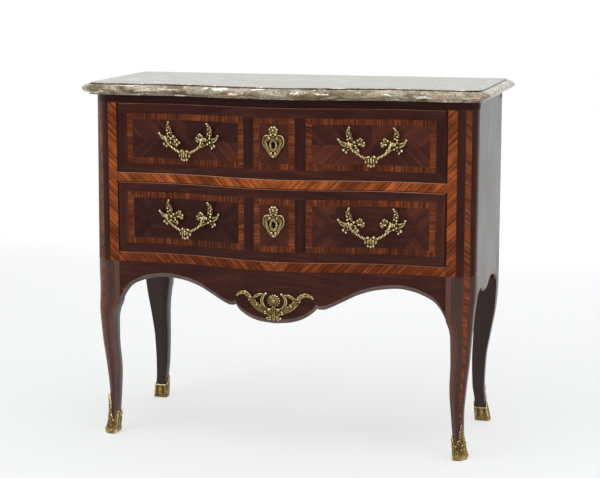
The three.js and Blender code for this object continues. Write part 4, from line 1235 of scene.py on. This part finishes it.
def key_outline(radius, slot, drop):
    """A round eye over a tapering slot, counted from the top of the eye."""
    neck = math.acos(slot / radius)
    arc = [math.pi / 2 - (math.pi / 2 + neck) * i / 12 for i in range(13)]
    line = [(radius * math.cos(a), radius * math.sin(a)) for a in arc]
    foot = radius * math.sin(neck)
    line += [(slot, -foot - (drop - foot) * i / 6) for i in range(1, 7)] + [(0, -drop)]
    return line + [(-x, z) for x, z in reversed(line[1:-1])]


def keyhole_shade():
    """Painted shade inside a keyhole: a thin closed dark leaf behind the pierced plate."""
    line = key_outline(5.2, 3.6, 13.0)
    shell = Shell()
    rows = [[(x, y, z) for x, z in line] for y in (-0.15, -0.7)]
    front, rear = lattice(shell, rows, lambda r, c: (0, along_z, (0.5, 0.5)))
    shell.face(front)
    shell.face(rear[::-1])
    return outward(shell)


def heart_plate():
    """The escutcheon: a thin pierced plate, a leafy rim, a ring around the keyhole and a flower head."""
    right = smooth_path(heart_row(0.9, 0, 1, 1), 6)
    outer = [(p[0], p[2]) for p in right] + [(-p[0], p[2]) for p in reversed(right[1:-1])]
    hole = key_outline(4.6, 3.0, 12.4)

    def resample(line, count=72):
        line = line + [line[0]]
        run = np.cumsum([0] + [math.dist(a, b) for a, b in zip(line, line[1:])])
        xs, zs = zip(*line)
        at = np.linspace(0, run[-1], count, endpoint=False)
        return list(zip(np.interp(at, run, xs), np.interp(at, run, zs)))
    big, small = resample(outer), resample(hole)
    rows = [
        [(x, 0.4, z) for x, z in big], [(x, -2.2, z) for x, z in big], [(x, -2.2, z) for x, z in small],
        [(x, 0.4, z) for x, z in small], [(x, 0.4, z) for x, z in big],
    ]
    plate = tube(rows, ends=False)
    rim = []
    for i, (x, out, z, w, t) in enumerate(heart_row(0.93, 2.8, 3.6, 2.6)):
        rim.append((x, out, z, w * (1.18 if i % 2 else 0.92), t))
    half = blade(rim, 2, 0.4, sides=16)
    curls = [
        blade([
            (3, 3, 19, 2.8, 2.4), (9, 3.6, 17, 3, 2.4), (14, 4, 12, 2.8, 2.2), (12.5, 4.4, 6.5, 2, 1.8),
        ], 2, 0.3, sides=14),
        blade([
            (2.4, 3, -27, 2.4, 2.2), (8, 3.4, -20, 2.8, 2.3), (13.5, 3.6, -10, 2.4, 2.1), (15.5, 3.8, -3, 1.8, 1.8),
        ], 2, 0.3, sides=14),
        blade([
            (10, 3.4, -18, 2.2, 2.2), (15, 4, -8, 3, 2.6), (18, 4.2, 3, 3.2, 2.6), (16, 4.2, 11, 2.4, 2.2),
        ], 1, 0.2, sides=14),
    ]
    parts = [plate, half, half.flipped()] + curls + [c.flipped() for c in curls]
    parts.append(hoop((0, 3.2, -3.4), 7.6, 2.6, axis="y", stretch=1.5, lobes=12, swell=0.14))
    for x, z, r in ((9, 12.5, 3.6), (5, -22, 3.4), (5, 21, 3.4)):
        parts += knobs((x, 3.4, z, r), (-x, 3.4, z, r))
    for k in range(7):
        turn = 2 * math.pi * (k + 0.25) / 7
        parts.append(ball((7.4 * math.cos(turn), 3.4, 31 + 6.2 * math.sin(turn)), (4.3, 2.9, 4.1)))
    parts += [ball((0, 4.6, 31), (4.2, 3.0, 4.2)), ball((0, 3.2, 24), (3.4, 2.8, 3.4))]
    parts.append(ball((0, 3.6, -28.5), (3, 2.6, 3.4)))
    return fused(parts, 0.7)


def branches():
    """The apron's mount: two leafy branches, inner curls and a flower head on its stem."""
    half = [
        blade([
            (0, 3.2, -38, 3, 3), (8, 3.6, -31, 4.6, 3.4), (19, 3.8, -24, 4.4, 3.4), (29, 3.9, -18.5, 5.2, 3.6),
            (39, 4, -11.5, 5.4, 3.7), (47.6, 4, -2.6, 5, 3.6), (54, 4.2, 5, 4.6, 3.4), (60.6, 4.6, 11.4, 4.8, 3.5),
            (69, 4.8, 15, 4.6, 3.3), (79, 4.6, 12.6, 3.6, 2.8), (86, 4, 7.4, 2.2, 2),
        ], 1, 0.26, notch=0.1),
        blade([
            (16, 2.8, -27, 2, 2.2), (26, 3.1, -24.6, 3, 2.6), (37, 3.2, -18.6, 3.6, 2.8),
            (47.6, 3.2, -10.6, 3.4, 2.6), (55.5, 3, -1.5, 1.6, 1.8),
        ], 1, 0.16, notch=0.1),
        blade([(61, 4.2, 9, 2.4, 2.2), (62, 5, 14, 3, 2.6), (65.5, 5, 18.6, 1.6, 1.6)], 1, 0.2),
        *knobs(
            (19, 5.6, -24.5, 2.6), (39, 5.8, -10.5, 2.6), (54, 6, 6, 2.6), (66, 6.4, 14, 2.4), (75.6, 6, 13.6, 2),
            (47, 3.8, -11, 2.6), (57.2, 4, -0.6, 2.4), (85.4, 4.2, 7.6, 2.4),
        ),
        ball((10, 4.6, -20), (5.2, 3.2, 4), lobes=4, depth=0.2, sides=28),
        ball((18.6, 4.4, -27.4), (5, 3, 3.6), lobes=4, depth=0.2, sides=28),
        ball((7.4, 4.6, -35), (4.4, 3, 4.6), lobes=4, depth=0.2, sides=28),
        blade([
            (50, 3.6, 0, 2.6, 2.4), (43, 3.8, 7, 3.4, 2.7), (33, 3.9, 12.4, 3.2, 2.6), (24.5, 3.9, 13.4, 1.8, 2),
        ], 2, 0.35),
        blade([
            (6, 3, -25, 2.6, 2.6), (15, 3.4, -20.5, 3.4, 2.9), (22.5, 3.7, -14, 3.8, 3), (26.6, 3.9, -5.5, 3.7, 3),
            (26.4, 4, 3, 3.4, 2.9), (23, 4.2, 10.5, 2.7, 2.5), (18, 4.3, 15.4, 2, 2.2),
        ], 2, 0.38),
        ball((17.6, 4.5, 15.8), 3.1),
        blade([(3, 3, -35, 2.6, 2.4), (9, 3.2, -40.5, 2.6, 2.4), (14.5, 3.2, -39, 2, 2)], 1, 0.2),
        ball((15, 3.6, -38.4), 2.4),
        blade([(2, 4, -17, 2.6, 2.6), (6.5, 5, -22, 3.4, 2.8), (6, 4.6, -30, 2.4, 2.2)], 2, 0.3),
    ]
    parts = half + [h.flipped() for h in half]
    parts += [
        blade([
            (0, 3.6, -9, 4.4, 3.4), (0, 4.4, -18, 4.6, 3.8), (0, 4.8, -27, 5.6, 4), (0, 4, -36, 4.4, 3.4),
            (0, 3, -43, 2, 2),
        ], 3, 0.36),
        ball((0, 3, 0), (12.4, 5.6, 12.4), lobes=14, depth=0.16, sides=84, rings=12),
        ball((0, 8, 0), (5.4, 3, 5.4), lobes=6, depth=0.3, sides=30),
    ]
    for k in range(14):
        turn = 2 * math.pi * k / 14
        parts.append(ball((12.4 * math.cos(turn), 2.8, 12.4 * math.sin(turn)), 2.3, 12, 7))
    return fused(parts, 0.8)


def shoe(section_at, climb, base, heel):
    """The sabot: a cast shoe with fluted leaves that climb to a point on the free corner.

    climb scales the highest leaf, base is the casting's thickness and heel the swelling at the floor."""
    tops = [share * (climb if share > 0.7 else 1) for share in SHOE_TOPS]
    per, lining = 12, 0.55
    count = len(tops) * per

    def share(u):
        i = int(u) % len(tops)
        t = u - int(u)
        a, b = tops[i], tops[(i + 1) % len(tops)]
        return a + (b - a) * (t * t * (3 - 2 * t))

    def ring(z, spread):
        corners = section_at(z, spread)
        line = []
        for i, a in enumerate(corners):
            b = corners[(i + 1) % len(corners)]
            line += [(a[0] + (b[0] - a[0]) * k / per, a[1] + (b[1] - a[1]) * k / per) for k in range(per)]
        for _ in range(6):
            line = [
                tuple((line[i - 1][j] + 2 * line[i][j] + line[(i + 1) % len(line)][j]) / 4 for j in (0, 1))
                for i in range(len(line))
            ]
        return line

    def relief(u, z, top):
        fan = 0.5 + 0.5 * math.cos(4 * math.pi * u)
        rise = min(max((z - 9) / max(top - 9, 1), 0), 1)
        leaf = 1.6 * fan * (0.35 + 0.65 * math.sin(math.pi * rise))
        edge = 1.1 * math.exp(-(((top - z) - 1.8) / 1.9) ** 2)
        foot = heel * math.exp(-((z - 6.5) / 5.0) ** 2)
        lumps = 0.3 * math.sin(u * 9.3 + z * 0.3) * math.sin(z * 0.19 - u * 5.1)
        tip = 3.0 * max(0, (z - 62) / 30) ** 2
        under = -1.2 * math.exp(-(z / 2.2) ** 2)
        return leaf + edge + foot + lumps + tip + under
    steps = 34
    peaks = [(k / per, SABOT_HEIGHT * share(k / per)) for k in range(count)]
    rows = [[(u, top * r / steps, top) for u, top in peaks] for r in range(steps + 1)]
    cache = {}

    def at(k, z, spread):
        key = (round(z, 1), round(spread, 2))
        if key not in cache:
            cache[key] = ring(z, spread)
        return cache[key][k]
    points = []
    for row in rows:
        points.append([(*at(k, z, round(base + relief(u, z, top), 1)), z) for k, (u, z, top) in enumerate(row)])
    crest = [z for u, z, top in rows[-1]]
    points += [
        [(*at(k, z - 0.6, 1.4), z + 0.3) for k, z in enumerate(crest)],
        [(*at(k, z, lining), z - 0.4) for k, z in enumerate(crest)],
        [(*at(k, 40, lining), 36) if z > 60 else (*at(k, 20, lining), 20) for k, z in enumerate(crest)],
        [(*at(k, 4.2, lining), 4.2) for k in range(count)],
    ]
    shell = tube(points)
    for u, z, r in SHOE_MARKS:
        k = int(round(u * per)) % count
        z *= climb if z > 50 else 1
        x, y = at(k, z, base + 1.0)
        knob = ball((x, -y, z), 0.9 * r, 12, 8)
        shell.add(knob.points, knob.faces)
    return shell


SHOE_MARKS = [
    (2.55, 44, 2.0), (2.75, 51, 2.3), (2.95, 58, 2.3), (3.15, 65, 2.1), (3.35, 72, 1.9),
    (5.45, 44, 2.0), (5.25, 51, 2.2), (5.05, 58, 2.2), (4.85, 65, 2.0), (4.65, 72, 1.8),
    (0.0, 52, 2.2), (8.0, 34, 2.0), (2.2, 38, 1.6), (5.8, 38, 1.6), (4.0, 83, 2.2),
    (3.2, 24, 2.4), (4.8, 24, 2.4), (4.0, 34, 2.6), (1.5, 20, 2.2), (6.5, 20, 2.2), (9.5, 18, 2.2),
]


def plain_ring(low, high, cant, cut, spread):
    """The twelve-point section that the shoes follow."""
    curve = canted(low, high, cant, (0, 0.25, 0.5, 0.75, 1))

    def half(a, b):
        return ((a[0] + b[0]) / 2, (a[1] + b[1]) / 2)
    ring = [low, half(low, curve[0])] + curve + [half(curve[-1], high), high]
    ring += [(low[0] + cut, high[1]), (low[0] + 0.3 * cut, high[1] - 0.3 * cut), (low[0], high[1] - cut)]
    return offset_ring(ring, spread)


def front_foot(z, spread):
    return plain_ring(*front_core(z), spread)


def rear_foot(z, spread):
    return [(x, -y) for x, y in plain_ring(*rear_core(z), spread)]


def bronzes():
    leaves = {place: leaf_cluster(shift) for place, shift in LEAF_SHIFTS.items()}
    spare = leaf_cluster(SPARE_SHIFT, False)
    bails = {side: twisted_bail(shift) for side, shift in BAIL_SHIFTS.items()}
    heart = heart_plate()
    for which in ("upper", "lower"):
        pivot, drawer = PIVOTS[which], which + "_drawer"
        for side in ("right", "left"):
            for end, way in (("outer", 1), ("inner", -1)):
                base = spare if (which, side, end) == ("upper", "left", "outer") else leaves[side, end]
                base = base if way > 0 else base.flipped()
                x = HANDLE_X + way * PIVOT_HALF
                shell = moved(base, on_front(x, pivot))
                shell = shell.flipped() if side == "left" else shell
                node = f"{drawer}_handle_{side}_mount_{end}"
                cast(f"{which}_{side}_{end}_leaves", shell, drawer, node)
            shell = moved(bails[side], lambda a, b, c, pivot=pivot: (a, b, c + pivot))
            shell = shell.flipped() if side == "left" else shell
            cast(f"{which}_{side}_bail_casting", shell, f"{which}_{side}_bail", f"{drawer}_handle_{side}_bail")
        # A dark leaf in each keyhole stands for the shade inside it: painted shade
        make(f"{which}_keyhole_shade", moved(keyhole_shade(), on_front(0, KEYHOLES[which], 0)), drawer, [KEYHOLE_SHADE])
        # A stronger weight paints the heart's raised rim lighter: painted highlight
        cast(f"{which}_heart", moved(heart, on_front(0, KEYHOLES[which])), drawer, f"{drawer}_escutcheon", weight=0.75)
    spray = moved(branches(), lambda x, y, z: (x * 1.075, y, z * 1.09 if z < 0 else z))
    cast("apron_branches", moved(spray, on_front(0, APRON_TOP - APRON_MOUNT_DROP)), "carcass", "apron_mount")
    for name, section_at, side, values in (
        ("front", front_foot, "right", (0.92, 1.9, 1.6)), ("front", front_foot, "left", (1.05, 3.0, 1.9)),
        ("rear", rear_foot, "right", (1.0, 1.4, 0.1)), ("rear", rear_foot, "left", (1.0, 1.0, -0.5)),
    ):
        shell = shoe(section_at, *values)
        shell = shell.flipped() if side == "left" else shell
        cast(f"{name}_shoe_{side}", shell, "carcass", f"{name}_sabot_{side}", 50, 0.25, SHOE_GILT)


bronzes()

# Carried-over pieces: the first word that a node's name holds gives its material
OWN = (
    ("runner", OAK_Y), ("_side_", OAK_Y), ("_drawer_back", OAK_X), ("_drawer_bottom", OAK_X), ("lock", IRON),
    ("_nut_", IRON), ("back_panel", OAK_Z), ("top_rear_rail", DARK_OAK), ("rear_apron", DARK_OAK),
    ("dust_board", OAK_X), ("bottom_board", OAK_X),
)
for name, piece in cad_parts.items():
    for word, material in OWN:
        if word in name:
            piece.data.materials.clear()
            piece.data.materials.append(material)
            break

# Room

def paper(colour, rough):
    """Matt white paper that turns to plain white light behind the object."""
    mat, t = surface("paper")
    grain, far = t.noise(t.place(), 3.0, 2.0, 0.5), t.split(t.place())[1]
    shade = t.ramp(grain, [(0.3, tuple(c * 0.99 for c in colour)), (0.7, colour)])
    white = t.mix("MIX", t.maths("MULTIPLY_ADD", far, 0.5, -0.15, clamp=True), (0.87, 0.885, 0.875), (1, 1, 1))
    glow = t.node("ShaderNodeEmission", {0: white, 1: 1.0})[0]
    fade = t.maths("MAXIMUM", t.maths("MULTIPLY_ADD", far, 0.55, -0.35, clamp=True), 0.7)
    t.blend(t.maths("MULTIPLY", t.seen(), fade), shaded(t, {"Base Color": shade, "Roughness": rough}), glow)
    return mat


# The floor and its backdrop, in metres
FLOOR_HALF = 11.0
FLOOR_NEAR = -9.0
FLOOR_FAR = 3.2
COVE = 2.6
BACKDROP_TOP = 6.5


def sweep():
    """A floor that curves up into a backdrop behind the object."""
    profile = [(FLOOR_NEAR, 0.0), (FLOOR_FAR, 0.0)]
    for i in range(1, 13):
        angle = math.pi / 2 * i / 12
        profile.append((FLOOR_FAR + COVE * math.sin(angle), COVE * (1 - math.cos(angle))))
    profile.append((FLOOR_FAR + COVE, BACKDROP_TOP))
    points = [(x, y, z) for x in (-FLOOR_HALF, FLOOR_HALF) for y, z in profile]
    n = len(profile)
    mesh = bpy.data.meshes.new("sweep")
    mesh.from_pydata(points, [], [(i, i + n, i + n + 1, i + 1) for i in range(n - 1)])
    mesh.shade_smooth()
    mesh.materials.append(paper((0.88, 0.895, 0.885), 0.9))
    floor = linked("sweep", mesh)


# Each lamp's place, target, size and power, in metres and watts
LAMPS = {
    "key": ((-2.2, -3.4, 3.4), (0, 0, 0.45), (3.2, 3.2), 88),
    "overhead": ((0.4, -0.2, 3.6), (0, 0, 0), (3.4, 2.8), 74),
    "fill": ((3.4, -2.4, 1.8), (0, 0, 0.4), (2.2, 2.2), 34),
}


def softbox(name, place, target, size, power):
    data = bpy.data.lights.new(name, "AREA")
    data.shape, data.size, data.size_y = "RECTANGLE", size[0], size[1]
    data.energy = power
    lamp = linked(name, data)
    lamp.location = place
    aim = Vector(target) - Vector(place)
    lamp.rotation_euler = aim.to_track_quat("-Z", "Y").to_euler()


def room():
    world = bpy.data.worlds.new("room")
    bpy.context.scene.world = world
    t = Tree(world, "ShaderNodeOutputWorld")
    dim = t.node("ShaderNodeBackground", {0: (0.96, 0.985, 1.0), 1: 0.60})[0]
    towards = t.split(t.node("ShaderNodeTexCoord")["Generated"])[1]
    behind = t.maths("MULTIPLY_ADD", towards, 1.1, 0.85, clamp=True)
    white = t.node("ShaderNodeBackground", {0: (1, 1, 1), 1: t.maths("MULTIPLY_ADD", behind, 0.7, 0.3)})[0]
    t.blend(t.seen(), dim, white)
    for name, values in LAMPS.items():
        softbox(name, *values)


# The camera in metres; its focal length was found in pixels of the photograph
EYE = Vector((1.0765, -3.8567, 1.1620))
AIM = Vector((-0.0031, 0.0395, 0.4703))
ROLL = -0.0009
FOCAL_PIXELS = 1671.39
PHOTO_WIDTH = 600
SENSOR_WIDTH = 36.0


def view():
    scene = bpy.context.scene
    scene.view_settings.view_transform = "Standard"
    data = bpy.data.cameras.new("camera")
    data.sensor_width = SENSOR_WIDTH
    data.lens = SENSOR_WIDTH * FOCAL_PIXELS / PHOTO_WIDTH
    data.clip_end = 60
    camera = linked("camera", data)
    camera.location = EYE
    turn = (AIM - EYE).to_track_quat("-Z", "Y")
    camera.rotation_euler = (turn @ Euler((0, 0, ROLL)).to_quaternion()).to_euler()
    scene.camera = camera


sweep()
room()
view()
